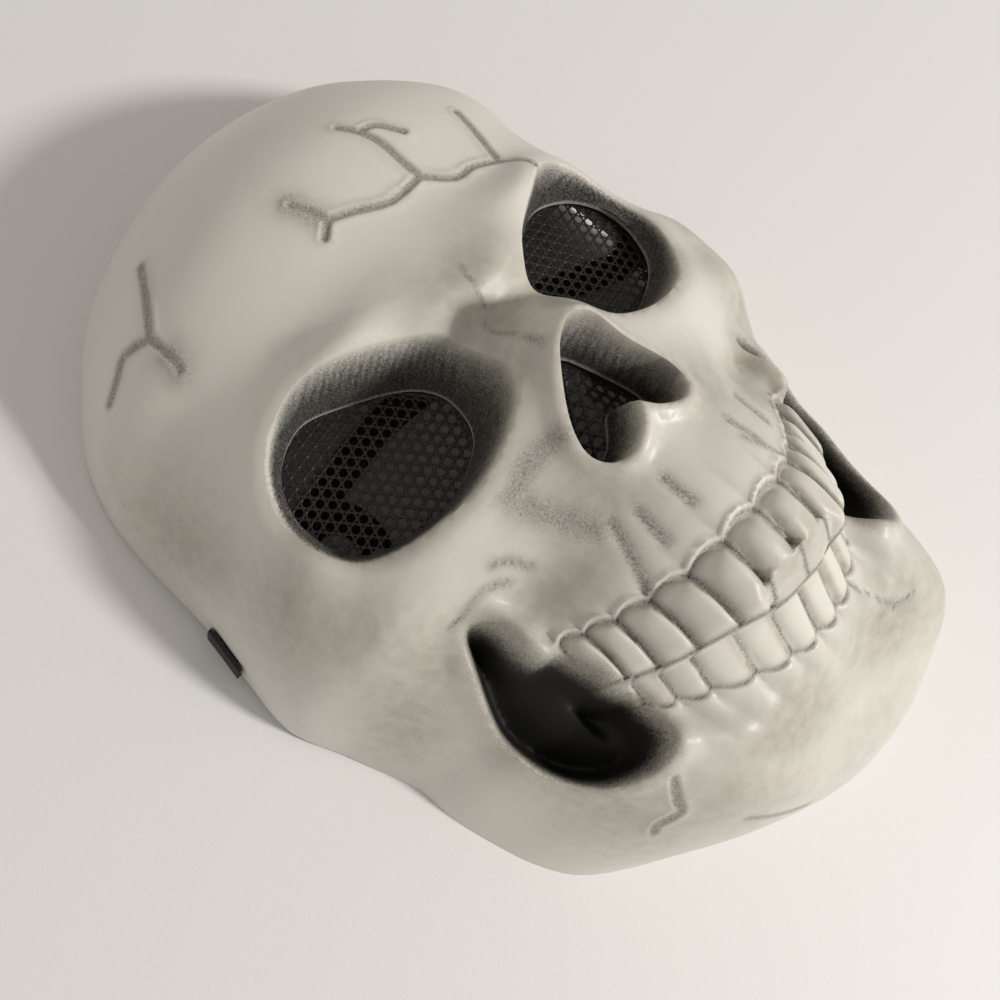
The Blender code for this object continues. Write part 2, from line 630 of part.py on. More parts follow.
def build_anchor(side):
    """A fold of elastic round the rim, a U in section, drawn along the rim."""
    mesh = bmesh.new()
    rings = []
    for share in (-0.5, 0.0, 0.5):
        along = ANCHOR_ALONG + share * ANCHOR_WIDE
        low = rim_height(ANCHOR_ALONG)
        heights = [low + up * ANCHOR_TALL for up in (0, 0.5, 1)]
        outer = [wall_across(h, along) + GAP for h in heights]
        inner = [wall_across(h, along) - WALL - 2 * GAP for h in heights]
        seat = low - ANCHOR_SLACK
        loop = [(outer[2] + STRAP_THICK, heights[2]), (outer[1] + STRAP_THICK, heights[1]),
                (outer[0] + STRAP_THICK, seat - STRAP_THICK), (inner[0] - STRAP_THICK, seat - STRAP_THICK),
                (inner[1] - STRAP_THICK, heights[1]), (inner[2] - STRAP_THICK, heights[2]),
                (inner[2], heights[2]), (inner[1], heights[1]), (inner[0], seat), (outer[0], seat),
                (outer[1], heights[1]), (outer[2], heights[2])]
        rings.append([mesh.verts.new((side * x, along, z)) for x, z in loop])
    count = len(rings[0])
    for first, second in zip(rings, rings[1:]):
        for i in range(count):
            j = (i + 1) % count
            mesh.faces.new((first[i], first[j], second[j], second[i]))
    for ring in (rings[0], rings[-1]):
        for i in range(5):
            mesh.faces.new((ring[i], ring[i + 1], ring[10 - i], ring[11 - i]))
    bmesh.ops.recalc_face_normals(mesh, faces=mesh.faces)
    return mesh


def strap_line():
    """Middle line of the strap with the way its width points, from anchor to anchor."""
    rows = [(a * HALF_WIDTH, b * LENGTH, up * STRAP_THICK, heading) for a, b, up, heading in STRAP_ROUTE]
    reach, low = anchor_leg(ANCHOR_ALONG)
    ends = []
    for share in (0.85, 0.35):
        across = reach[0] + (reach[1] - reach[0]) * share - STRAP_THICK / 2 - 4 * GAP
        ends.append((across, ANCHOR_ALONG, low + share * ANCHOR_TALL))
    start = [(-a, b, c, 90) for a, b, c in ends]
    finish = [(a, b, c, 270) for a, b, c in reversed(ends)]
    return curve_through(start + rows + finish, steps=5)


def build_strap():
    """Flat elastic swept along its line."""
    line = strap_line()
    spots = line[:, :3]
    run = np.gradient(spots, axis=0)
    run /= np.linalg.norm(run, axis=1)[:, None]
    heading = np.radians(line[:, 3])
    wide = np.column_stack([np.cos(heading), np.sin(heading), np.zeros(len(line))])
    wide -= run * np.sum(wide * run, axis=1)[:, None]
    wide /= np.linalg.norm(wide, axis=1)[:, None]
    thick = np.cross(run, wide) * STRAP_THICK / 2
    wide *= STRAP_WIDE / 2
    mesh = bmesh.new()
    rings = []
    for spot, w, t in zip(spots, wide, thick):
        rings.append([mesh.verts.new(spot + a * w + b * t) for a, b in ((1, 1), (-1, 1), (-1, -1), (1, -1))])
    for first, second in zip(rings, rings[1:]):
        for i in range(4):
            j = (i + 1) % 4
            mesh.faces.new((first[i], first[j], second[j], second[i]))
    mesh.faces.new(rings[0])
    mesh.faces.new(rings[-1])
    bmesh.ops.recalc_face_normals(mesh, faces=mesh.faces)
    return mesh


def make_object(name, mesh, material, sharp=40):
    """Turn a finished bmesh into a named object."""
    bmesh.ops.triangulate(mesh, faces=mesh.faces)
    data = bpy.data.meshes.new(name)
    mesh.to_mesh(data)
    mesh.free()
    data.materials.append(material)
    data.shade_smooth()
    data.set_sharp_from_angle(angle=math.radians(sharp))
    thing = bpy.data.objects.new(name, data)
    bpy.context.scene.collection.objects.link(thing)
    return thing


def make_material(name, colour, roughness):
    """A plain finish."""
    material = bpy.data.materials.new(name)
    material.use_nodes = True
    shader = material.node_tree.nodes["Principled BSDF"]
    shader.inputs["Base Color"].default_value = (*colour, 1)
    shader.inputs["Roughness"].default_value = roughness
    return material


def main():
    for thing in list(bpy.data.objects):
        bpy.data.objects.remove(thing)
    plastic = make_material("moulded plastic", (0.72, 0.70, 0.65), 0.38)
    sheet = make_material("perforated sheet", (0.02, 0.02, 0.02), 0.35)
    elastic = make_material("elastic", (0.015, 0.015, 0.016), 0.85)
    make_object("shell", build_shell(), plastic)
    for name, side in (("right", -1), ("left", 1)):
        line = EYE_LINE * (side, 1)
        lap = SOCKET_WALL - EYE_BEVEL - SHEET_LAP
        make_object("eye_mesh_" + name, build_sheet(line, eye_sheet_height, lap), sheet)
        make_object("strap_anchor_" + name, build_anchor(side), elastic)
    lap = NOSE_WALL - NOSE_BEVEL - SHEET_LAP
    make_object("nose_mesh", build_sheet(NOSE_LINE, nose_sheet_height, lap), sheet)
    make_object("head_strap", build_strap(), elastic)


main()
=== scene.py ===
import math

import bmesh
import bpy
import numpy as np
from mathutils import Matrix, Vector


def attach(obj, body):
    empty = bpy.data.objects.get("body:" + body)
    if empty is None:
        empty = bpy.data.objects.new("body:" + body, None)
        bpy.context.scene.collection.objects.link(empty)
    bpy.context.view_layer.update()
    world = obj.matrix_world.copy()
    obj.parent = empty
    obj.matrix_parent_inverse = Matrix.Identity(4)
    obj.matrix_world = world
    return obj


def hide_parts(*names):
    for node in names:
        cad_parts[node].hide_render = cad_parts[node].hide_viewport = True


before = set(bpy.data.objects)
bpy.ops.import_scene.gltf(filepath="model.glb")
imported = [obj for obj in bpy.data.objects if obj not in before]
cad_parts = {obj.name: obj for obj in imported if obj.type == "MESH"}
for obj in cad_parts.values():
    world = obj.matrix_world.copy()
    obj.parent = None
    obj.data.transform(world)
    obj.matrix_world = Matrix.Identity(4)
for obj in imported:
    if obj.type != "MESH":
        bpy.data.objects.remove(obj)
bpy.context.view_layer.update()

MM = 0.001

# The shell is one thin moulding of off-white plastic, drawn down over a skull-shaped form.
# Its outer face follows the same sizes as the solid, with the teeth, gums, roots and cracks cut finer.
# Dark paint is misted into the sockets and the cheek hollows. Painted shade darkens the gaps between the
# teeth, the gum and bite lines, the root slots and grooves, and broad olive-brown patches over the chin,
# jaw, cheeks and brow.
LENGTH = 256.5 * MM
HALF_WIDTH = 92.5 * MM
DEPTH = 98 * MM
WALL = 2 * MM
WALL_TURNS = 8
RIM_LIFT = 4.5 * MM
RIM_BLEND = 8 * MM
RIM_FADE = 0.12
RIM_SPREAD = 0.14
AT_RIM = 0.05 * MM
RIM_CROWDING = 0.82
CHIN_SWAY = 9 * MM
SWAY_FROM, SWAY_OVER = 0.2, 0.3
JAW_SKEW = 0.085
SKEW_FROM, SKEW_OVER = 0.08, 0.25
ANCHOR_ALONG = 24 * MM

# From chin to crown: along (share of LENGTH), half width (of HALF_WIDTH), crest (of DEPTH), two powers
SECTIONS = [
    (-0.500, 0.000, 0.000, 2.40, 1.17), (-0.494, 0.108, 0.068, 2.40, 1.17),
    (-0.481, 0.216, 0.207, 2.50, 1.17), (-0.457, 0.363, 0.362, 2.70, 1.17),
    (-0.428, 0.505, 0.464, 2.90, 1.15), (-0.393, 0.659, 0.516, 3.00, 1.11),
    (-0.358, 0.763, 0.569, 3.00, 1.10), (-0.315, 0.810, 0.680, 2.60, 1.11),
    (-0.260, 0.830, 0.769, 2.30, 1.11), (-0.198, 0.847, 0.857, 2.20, 1.18),
    (-0.147, 0.857, 0.885, 2.15, 1.20), (-0.073, 0.920, 0.869, 2.15, 1.33),
    (-0.007, 0.985, 0.853, 2.15, 1.59), (0.063, 0.966, 0.845, 2.10, 1.81),
    (0.122, 0.941, 0.822, 2.10, 1.76), (0.200, 0.932, 0.818, 2.10, 1.65),
    (0.270, 0.912, 0.790, 2.10, 1.64), (0.328, 0.858, 0.748, 2.10, 1.65),
    (0.367, 0.786, 0.692, 2.10, 1.66), (0.403, 0.695, 0.616, 2.10, 1.72),
    (0.434, 0.602, 0.535, 2.10, 1.78), (0.461, 0.461, 0.431, 2.10, 1.84),
    (0.481, 0.331, 0.314, 2.10, 1.95), (0.496, 0.147, 0.150, 2.10, 1.95),
    (0.500, 0.000, 0.000, 2.10, 1.95),
]

# Rounded rises and dips: across, along, rise, wide, long
RISES = [
    (0.000, 0.050, 0.150, 0.090, 0.032), (0.000, -0.022, 0.090, 0.165, 0.055),
    (0.000, 0.098, -0.055, 0.110, 0.018), (0.000, 0.137, 0.030, 0.100, 0.018),
    (0.130, 0.138, 0.035, 0.080, 0.020), (0.330, 0.175, 0.056, 0.170, 0.020),
    (0.560, 0.185, -0.014, 0.110, 0.022), (0.690, 0.250, -0.037, 0.120, 0.022),
    (0.000, 0.231, -0.015, 0.324, 0.039), (0.735, -0.019, 0.051, 0.108, 0.035),
    (0.778, 0.223, -0.076, 0.097, 0.078), (0.000, -0.143, 0.082, 0.216, 0.058),
    (0.420, -0.085, -0.070, 0.060, 0.022), (0.485, -0.104, 0.050, 0.050, 0.020),
    (0.560, -0.060, -0.050, 0.070, 0.022), (0.000, -0.291, -0.020, 0.324, 0.023),
    (0.410, -0.380, 0.087, 0.125, 0.042), (0.660, 0.100, -0.013, 0.090, 0.050),
    (0.600, 0.040, -0.042, 0.080, 0.030), (0.800, 0.060, 0.030, 0.080, 0.030),
    (0.520, -0.272, 0.025, 0.110, 0.030),
]


def curve_through(rows, closed=False, steps=16):
    """Points of a smooth curve through the rows of a table."""
    points = np.asarray(rows, float)
    count = len(points)
    pieces = []
    for i in range(count if closed else count - 1):
        if closed:
            a, b, c, d = (points[(i + k) % count] for k in (-1, 0, 1, 2))
        else:
            a, b, c, d = (points[min(max(i + k, 0), count - 1)] for k in (-1, 0, 1, 2))
        t = np.linspace(0, 1, steps, endpoint=False)[:, None]
        pieces.append(0.5 * (2 * b + (c - a) * t + (2 * a - 5 * b + 4 * c - d) * t**2
                             + (3 * b - a - 3 * c + d) * t**3))
    if not closed:
        pieces.append(points[-1:])
    return np.vstack(pieces)


def ease(t):
    """0 to 1 with a smooth start and end."""
    t = np.clip(t, 0, 1)
    return t * t * (3 - 2 * t)


def outline_distance(x, y, line):
    """Signed distance to a closed line, negative inside, and the direction away from it."""
    following = np.roll(line, -1, axis=0)
    best = np.full(x.shape, np.inf)
    out_x = np.zeros(x.shape)
    out_y = np.zeros(x.shape)
    inside = np.zeros(x.shape, bool)
    turn = np.sign(np.sum(line[:, 0] * following[:, 1] - following[:, 0] * line[:, 1]))
    for (ax, ay), (bx, by) in zip(line, following):
        run_x, run_y = bx - ax, by - ay
        size = math.hypot(run_x, run_y)
        t = np.clip(((x - ax) * run_x + (y - ay) * run_y) / size**2, 0, 1)
        gap = np.hypot(x - ax - t * run_x, y - ay - t * run_y)
        closer = gap < best
        best = np.where(closer, gap, best)
        out_x = np.where(closer, turn * run_y / size, out_x)
        out_y = np.where(closer, -turn * run_x / size, out_y)
        crosses = (ay > y) != (by > y)
        if run_y != 0:
            inside ^= crosses & (x < (y - ay) * run_x / run_y + ax)
    return np.where(inside, -best, best), out_x, out_y


def opening_line(table, width, height, across, along, closed=True):
    """An opening's outline in metres."""
    shares = curve_through(table, closed, 8)
    return np.column_stack([across + shares[:, 0] * width / 2, along + shares[:, 1] * height / 2])


STATIONS = curve_through(SECTIONS)
STATIONS[:, 0] = np.maximum.accumulate(STATIONS[:, 0])

# Eye sockets
EYE_WIDTH = 50 * MM
EYE_HEIGHT = 42.5 * MM
EYE_ACROSS = 36.5 * MM
EYE_ALONG = 25.6 * MM
SOCKET_WALL = 3.4 * MM
EYE_BEVEL = 1 * MM
SOCKET_LIP = 1.6 * MM
SOCKET_LIP_SPREAD = 4 * MM
BRIDGE_HALF = 18 * MM
SOCKET_FLOOR = 60.5 * MM
SOCKET_SLANT = 0.15
EYE_LINE = opening_line([
    (-1.00, -0.02), (-0.78, 0.41), (-0.27, 0.78), (0.25, 1.00), (0.75, 0.74), (1.00, 0.16), (0.90, -0.51),
    (0.52, -0.87), (-0.10, -1.00), (-0.64, -0.84), (-0.94, -0.54)],
    EYE_WIDTH, EYE_HEIGHT, EYE_ACROSS, EYE_ALONG)

# Nose opening, an upturned heart
NOSE_WIDTH = 28 * MM
NOSE_HEIGHT = 28 * MM
NOSE_ALONG = -0.6 * MM
NOSE_WALL = 2.4 * MM
NOSE_BEVEL = 0.6 * MM
NOSE_LIP = 2.5 * MM
NOSE_LIP_SPREAD = 2 * MM
NOSE_FLOOR = 76 * MM
NOSE_LIP_OUT = 0.8
NOSE_FOLD = 8 * MM
NOSE_FOLD_HALF = 0.45 * NOSE_WIDTH
nose_half = opening_line([
    (0.00, 1.00), (0.34, 0.80), (0.66, 0.27), (0.92, -0.25), (1.00, -0.62), (0.88, -0.90), (0.62, -1.00),
    (0.25, -0.82), (0.00, -0.50)], NOSE_WIDTH, NOSE_HEIGHT, 0, NOSE_ALONG, closed=False)
NOSE_LINE = np.vstack([nose_half, (nose_half * (-1, 1))[-2:0:-1]])

# Cheek hollows
HOLLOW_WIDTH = 23 * MM
HOLLOW_HEIGHT = 54 * MM
HOLLOW_ACROSS = 48.5 * MM
HOLLOW_ALONG = -44.8 * MM
HOLLOW_DEEP = 17 * MM
HOLLOW_WALL = 6 * MM
HOLLOW_BEVEL = 2 * MM
HOLLOW_LIP = 2 * MM
HOLLOW_LIP_SPREAD = 3 * MM
HOLLOW_LINE = opening_line([
    (0.30, 1.00), (0.74, 0.59), (1.00, 0.04), (0.83, -0.52), (0.39, -0.89), (-0.30, -1.00), (-0.85, -0.84),
    (-1.00, -0.52), (-0.72, -0.22), (-0.55, 0.12), (-0.38, 0.34), (-0.05, 0.43), (0.08, 0.62),
    (0.04, 0.90)], HOLLOW_WIDTH, HOLLOW_HEIGHT, HOLLOW_ACROSS, HOLLOW_ALONG)

# Teeth, from the middle outwards
MOUTH_HALF = 42 * MM
GUM_ALONG = -41.4 * MM
UPPER_TALL = 16.5 * MM
LOWER_TALL = 13.5 * MM
TOOTH_PROUD = 3 * MM
MUZZLE_RISE = 22 * MM
JAW_FALL = 16 * MM
BITE_STEP = 2 * MM
MOUTH_FADE = 4 * MM
UPPER_BOW = 1.9 * MM
LOWER_BOW = 1.6 * MM
WORN_TUCK = 5 * MM
WORN_REACH = 14 * MM
WORN_EDGE = 0.9 * MM
TUCK_FROM = 0.64 * UPPER_TALL
TUCK_OVER = 0.54 * UPPER_TALL
WORN_SIDE = [
    (0.0, -0.61), (0.27, -0.68), (0.52, -0.61), (0.73, -0.79), (0.68, -1.04), (0.36, -1.16), (0.0, -1.18)]
WORN_LINE = np.array(WORN_SIDE + [(-a, b) for a, b in WORN_SIDE[-2:0:-1]]) * UPPER_TALL + (0, GUM_ALONG)
# A crown's section powers, its share of the space at the gum and at the tip, and the shares of its
# height over which it rises and ends
CROWN_SQUARE = 2.6
CROWN_ROUND = 0.55
UPPER_NECK, UPPER_WIDE = 0.66, 0.88
UPPER_RECESS, UPPER_DOME, UPPER_END = 0.1, 0.3, 0.18
LOWER_NECK, LOWER_WIDE = 0.72, 0.88
LOWER_DOME, LOWER_END = 0.28, 0.15
LOWER_PROUD = 0.75 * TOOTH_PROUD
# The gum's ridge and the recess under it, then the roots that swell beyond the crowns
GUM_RIDGE, GUM_RIDGE_UP, GUM_RIDGE_WIDE = 0.85 * MM, 1.3 * MM, 0.6 * MM
GUM_RECESS, GUM_RECESS_DOWN, GUM_RECESS_WIDE = 0.6 * MM, 0.5 * MM, 0.9 * MM
LOW_RECESS, LOW_RECESS_DOWN, LOW_RECESS_WIDE = 0.5 * MM, 0.2 * MM, 0.6 * MM
UPPER_ROOT, LOWER_ROOT = 1.0 * MM, 1.9 * MM
ROOT_LENGTH = 9 * MM
ROOT_SIDE = 0.6
UPPER_EDGES = np.array((0.0, 0.224, 0.424, 0.598, 0.750, 0.880, 1.0))
LOWER_EDGES = np.array((0.0, 0.190, 0.393, 0.595, 0.726, 0.845, 1.0))
# across, gum, upper_tip, lower_gum, gum_out, tip_out, low_out
TOOTH_LINES = curve_through([
    (0.0, 0.00, 1.17, 1.22, 0.022, 0.120, 0.020),
    (0.1, 0.00, 1.17, 1.22, 0.022, 0.118, 0.018),
    (0.2, 0.00, 1.15, 1.18, 0.022, 0.112, 0.010),
    (0.4, -0.01, 0.97, 0.98, 0.008, 0.092, -0.010),
    (0.6, 0.07, 0.84, 0.66, -0.014, 0.030, -0.045),
    (0.7, 0.14, 0.77, 0.47, -0.022, -0.005, -0.080),
    (0.8, 0.24, 0.65, 0.25, -0.031, -0.045, -0.110),
    (0.9, 0.36, 0.50, -0.02, -0.040, -0.052, -0.110),
    (1.0, 0.48, 0.37, -0.35, -0.048, -0.050, -0.080),
], steps=8)


def arc(t):
    """0 to 1 as a quarter circle rises."""
    return np.sqrt(1 - (1 - np.clip(t, 0, 1))**2)


def rounded(side):
    """A crown's section from one side of the tooth to the other."""
    return np.clip(1 - np.abs(side)**CROWN_SQUARE, 0, 1)**CROWN_ROUND


def bite(across, along):
    """The lines of the gums and the bite, and where each point lies on its tooth."""
    share = np.clip(across / MOUTH_HALF, 0, 1)
    gum, tip, low, gum_out, tip_out, low_out = (
        np.interp(share, TOOTH_LINES[:, 0], TOOTH_LINES[:, k]) for k in range(1, 7))
    gum = GUM_ALONG + gum * UPPER_TALL
    tip = GUM_ALONG - tip * UPPER_TALL
    low = GUM_ALONG - UPPER_TALL - low * LOWER_TALL
    rows = []
    rows_of_teeth = ((UPPER_EDGES, gum, tip, UPPER_BOW, 0), (LOWER_EDGES, tip, low, 0, LOWER_BOW))
    for edges, top, bottom, up, down_by in rows_of_teeth:
        which = np.clip(np.searchsorted(edges, share, side="right") - 1, 0, len(edges) - 2)
        middle = (edges[which] + edges[which + 1]) / 2
        half = (edges[which + 1] - edges[which]) / 2
        side = (share - middle) / half
        start = top + up * (1 - side**2)
        end = bottom - down_by * (1 - side**2)
        rows.append((side, half * MOUTH_HALF, start, end, (start - along) / (start - end)))
    in_mouth = ease((MOUTH_HALF + MOUTH_FADE - across) / MOUTH_FADE)
    return gum, tip, low, gum_out, tip_out, low_out, rows, in_mouth


def teeth_height(across, along):
    """Height of the muzzle, its gums and its two rows of teeth over the plain section."""
    gum, tip, low, gum_out, tip_out, low_out, rows, in_mouth = bite(across, along)
    down_upper = np.clip((gum - along) / (gum - tip), 0, 1)
    upper = gum_out + (tip_out - gum_out) * down_upper
    upper = upper * DEPTH * ease((gum + MUZZLE_RISE - along) / MUZZLE_RISE)
    lower = low_out * DEPTH * ease((along - low + JAW_FALL) / JAW_FALL)
    (side, half, start, end, down), (low_side, low_half, low_start, low_end, low_down) = rows

    # Upper crowns are narrow at the gum; the middle two end in one worn plate, tucked back at its edge
    width = UPPER_NECK + (UPPER_WIDE - UPPER_NECK) * ease(down / 0.6)
    crown = rounded(side / width) * arc((down - UPPER_RECESS) / UPPER_DOME) * arc((1 - down) / UPPER_END)
    worn = ease(-outline_distance(across, along, WORN_LINE)[0] / WORN_EDGE)
    tuck = ease((GUM_ALONG - TUCK_FROM - along) / TUCK_OVER) * ease((WORN_REACH - across) / MOUTH_FADE)
    upper = upper + TOOTH_PROUD * np.maximum(crown, worn) - WORN_TUCK * tuck
    relief = upper + (lower - upper) * ease((tip - along) / BITE_STEP)

    # Lower crowns are rounded towards the gum
    width = LOWER_WIDE + (LOWER_NECK - LOWER_WIDE) * ease((low_down - 0.4) / 0.6)
    crown = rounded(low_side / width) * arc(low_down / LOWER_END) * arc((1 - low_down) / LOWER_DOME)
    relief = relief + LOWER_PROUD * crown

    # The gum's thin ridge over a recess, and the roots swelling beyond it
    above = along - start
    relief = relief + GUM_RIDGE * np.exp(-((above - GUM_RIDGE_UP) / GUM_RIDGE_WIDE)**2)
    relief = relief - GUM_RECESS * np.exp(-((above + GUM_RECESS_DOWN) / GUM_RECESS_WIDE)**2)
    fade = ease(above / (1 * MM)) * np.exp(-np.maximum(above, 0) / ROOT_LENGTH)
    relief = relief + UPPER_ROOT * (ROOT_SIDE - side**2) * fade
    below = low_end - along
    relief = relief - LOW_RECESS * np.exp(-((below - LOW_RECESS_DOWN) / LOW_RECESS_WIDE)**2)
    fade = ease(below / (1.5 * MM)) * np.exp(-np.maximum(below, 0) / ROOT_LENGTH)
    relief = relief + LOWER_ROOT * (ROOT_SIDE - np.abs(low_side)**2.2) * fade
    return relief * in_mouth


def section(along):
    """Half width, crest height and the two powers of the section at a place along the face."""
    share = along / LENGTH
    half, crest, square, full = (np.interp(share, STATIONS[:, 0], STATIONS[:, k]) for k in (1, 2, 3, 4))
    return np.maximum(half, 0) * HALF_WIDTH, np.maximum(crest, 0) * DEPTH, square, full


def rim_height(along):
    """Height of the rim over the table, which rises at the temples."""
    return RIM_LIFT * np.exp(-((along - ANCHOR_ALONG) / (RIM_SPREAD * LENGTH))**2)


def sway(y):
    """How far the chin hangs to the left of the face's middle."""
    return CHIN_SWAY * ease((-SWAY_FROM * LENGTH - y) / (SWAY_OVER * LENGTH))


def skew(x, y):
    """How far the jaw's left side hangs below its right."""
    return -JAW_SKEW * x * ease((-SKEW_FROM * LENGTH - y) / (SKEW_OVER * LENGTH))


# Cracks pressed into the forehead, cheek and chin, as the points they run through in millimetres
CRACKS = [
    [(-12.3, 78.6), (-10.6, 74.7), (-9.5, 69.9)], [(-9.5, 69.9), (-13.2, 67.0)],
    [(-9.5, 69.9), (-3.2, 66.9), (4.4, 63.2), (14.4, 63.7)],
    [(14.4, 63.7), (14.4, 69.9), (14.8, 76.6), (13.7, 82.2), (11.4, 86.9)],
    [(13.7, 82.2), (18.3, 81.3), (22.0, 75.5)],
    [(14.4, 63.7), (20.4, 58.1), (26.8, 57.8), (33.7, 55.1), (36.5, 52.6), (37.8, 49.8), (37.9, 47.3)],
    [(33.7, 55.1), (35.5, 58.7), (38.6, 67.0), (40.4, 73.6)],
    [(-40.3, 98.9), (-46.2, 90.4), (-52.0, 83.3)],
    [(-52.0, 83.3), (-57.6, 87.1), (-61.6, 85.7), (-66.2, 84.6)],
    [(-52.0, 83.3), (-52.3, 76.6), (-52.8, 72.5)],
    [(-42.6, -74.5), (-44.3, -79.3), (-45.2, -82.7), (-49.7, -82.0), (-50.7, -83.3)],
]
# Fainter lines, only scratched
SCRATCHES = [
    [(0.9, 39.9), (-0.6, 34.5), (-1.0, 30.1)],
    [(-54.9, -13.3), (-49.8, -12.8), (-43.5, -13.0), (-39.4, -15.7)],
    [(-40.6, -10.0), (-37.7, -12.1), (-34.8, -16.7)], [(33.4, -91.1), (25.4, -89.0)],
    [(16.9, -71.9), (20.4, -79.7), (24.6, -87.0), (31.6, -91.7)], [(12.2, -30.0), (18.1, -40.6)],
    [(-3.8, 28.5), (-4.9, 20.5), (-6.4, 13.4)], [(-35.1, -96.2), (-26.0, -105.0), (-17.2, -111.7)],
]
# Broad olive-brown patches in millimetres: across, along, wide, long, strength. They are mostly painted
# shade over the chin, jaw, cheeks, brow and muzzle, and partly the mask's own olive-brown stain
SHADE_WASHES = [
    (0, -112, 30, 10, 0.35), (34, -98, 14, 12, 0.50), (54, -72, 10, 24, 0.62),
    (40, -92, 16, 8, 0.50), (62, -14, 8, 9, 0.65), (74, 14, 8, 14, 0.55), (0, 30, 14, 12, 0.65),
    (18, -17, 10, 8, 0.60), (30, -26, 12, 8, 0.50), (78, 50, 8, 18, 0.55), (0, -54, 12, 6, 0.60),
    (18, -88, 16, 9, 0.70), (72, -20, 9, 13, 0.65), (68, 0, 8, 10, 0.55),
    (11, 20, 7, 13, 0.55), (72, 57, 8, 16, 0.35), (39, -22, 6, 6, 0.50),
]
# Slots between the roots of the upper teeth, and smudges of grey paint
SLOTS = [[(-20.1, -22.0), (-24.5, -37.5)], [(-15.5, -24.0), (-16.6, -32.6)],
         [(-7.8, -23.0), (-8.0, -30.8)], [(14.0, -25.0), (15.5, -33.0)], [(24.0, -24.0), (25.5, -33.0)]]
SMUDGES = [[(-15.7, -1.5), (-22.0, -1.0), (-29.6, -3.3)], [(-29.0, -5.6), (-26.0, -13.0), (-23.1, -21.3)],
           [(-12.3, 78.6), (-10.8, 72.5)], [(-52.3, 76.6), (-52.8, 72.5)]]

# How high the cracks' edges stand, how deep the lines are cut, and how wide
CRACK_EDGE, CRACK_EDGE_OUT, CRACK_EDGE_WIDE = 0.40 * MM, 1.55 * MM, 0.55 * MM
CRACK_DEEP, CRACK_WIDE = 0.45 * MM, 0.95 * MM
SCRATCH_DEEP, SCRATCH_WIDE = 0.22 * MM, 0.5 * MM
SLOT_DEEP, SLOT_WIDE = 0.9 * MM, 1.1 * MM


def line_distance(x, y, lines):
    """Distance to the nearest of several open lines."""
    best = np.full(x.shape, 1.0)
    for line in lines:
        points = np.array(line) * MM
        if len(points) > 2:
            points = curve_through(points, steps=3)
        for (ax, ay), (bx, by) in zip(points, points[1:]):
            run_x, run_y = bx - ax, by - ay
            t = np.clip(((x - ax) * run_x + (y - ay) * run_y) / (run_x**2 + run_y**2), 0, 1)
            best = np.minimum(best, np.hypot(x - ax - t * run_x, y - ay - t * run_y))
    return best


def to_openings(x, y):
    """Distances to the eye, the nose opening and the cheek hollow."""
    across = np.abs(x)
    return (outline_distance(across, y, EYE_LINE)[0], outline_distance(x, y, NOSE_LINE)[0],
            outline_distance(across, y, HOLLOW_LINE)[0])


def to_lines(x, y, lines):
    """Distance to lines that are placed on the finished, swaying face."""
    return line_distance(x + sway(y), y + skew(x, y), lines)


def skull_height(x, y):
    """Height of the outer face over the table."""
    across = np.abs(x)
    half, crest, square, full = section(y)
    side = np.clip(across / np.maximum(half, 1e-6), 0, 1)
    z = crest * np.clip(1 - side**square, 0, 1)**(1 / full)
    for middle_x, middle_y, rise, wide, long in RISES:
        lump = np.exp(-0.5 * (((across / HALF_WIDTH - middle_x) / wide)**2
                              + ((y / LENGTH - middle_y) / long)**2))
        z = z + rise * DEPTH * lump * ease((1 - side) / RIM_FADE)
    eye, nose, hollow = to_openings(x, y)
    z = z + SOCKET_LIP * np.exp(-(eye / SOCKET_LIP_SPREAD - 1)**2) * ease(across / BRIDGE_HALF - 1)
    z = z + NOSE_LIP * np.exp(-(nose / NOSE_LIP_SPREAD - NOSE_LIP_OUT)**2)
    z = z + HOLLOW_LIP * np.exp(-(hollow / HOLLOW_LIP_SPREAD - 1)**2)
    z = z + teeth_height(across, y)
    z = z - HOLLOW_DEEP * ease((HOLLOW_BEVEL - hollow) / HOLLOW_WALL)
    z = z + (socket_floor(across) - z) * ease((EYE_BEVEL - eye) / SOCKET_WALL)
    z = z + (nose_floor(across) - z) * ease((NOSE_BEVEL - nose) / NOSE_WALL)
    return np.maximum(z, 0) + rim_height(y) * side**4


def scored_height(x, y):
    """The outer face with its cracks, scratches and root slots."""
    crack, scratch, slot = (to_lines(x, y, lines) for lines in (CRACKS, SCRATCHES, SLOTS))
    z = skull_height(x, y)
    z = z + CRACK_EDGE * np.exp(-((crack - CRACK_EDGE_OUT) / CRACK_EDGE_WIDE)**2)
    z = z - CRACK_DEEP * np.exp(-(crack / CRACK_WIDE)**4)
    z = z - SCRATCH_DEEP * np.exp(-(scratch / SCRATCH_WIDE)**2)
    return z - SLOT_DEEP * np.exp(-(slot / SLOT_WIDE)**2)


def socket_floor(across):
    """The slanting plane at the bottom of an eye socket."""
    return SOCKET_FLOOR - SOCKET_SLANT * across


def nose_floor(across):
    """The bottom of the nose opening, folded up along its middle."""
    return NOSE_FLOOR + NOSE_FOLD * np.clip(1 - across / NOSE_FOLD_HALF, 0, 1)


def inner_height(x, y):
    """The inner face: the outer one, followed one wall inside."""
    lowest = skull_height(x, y) - WALL
    for share in (0.5, 1.0):
        drop = WALL * math.sqrt(1 - share**2)
        for turn in range(WALL_TURNS):
            angle = math.tau * turn / WALL_TURNS
            shifted = skull_height(x + share * WALL * math.cos(angle), y + share * WALL * math.sin(angle))
            lowest = np.minimum(lowest, shifted - drop)
    return lowest


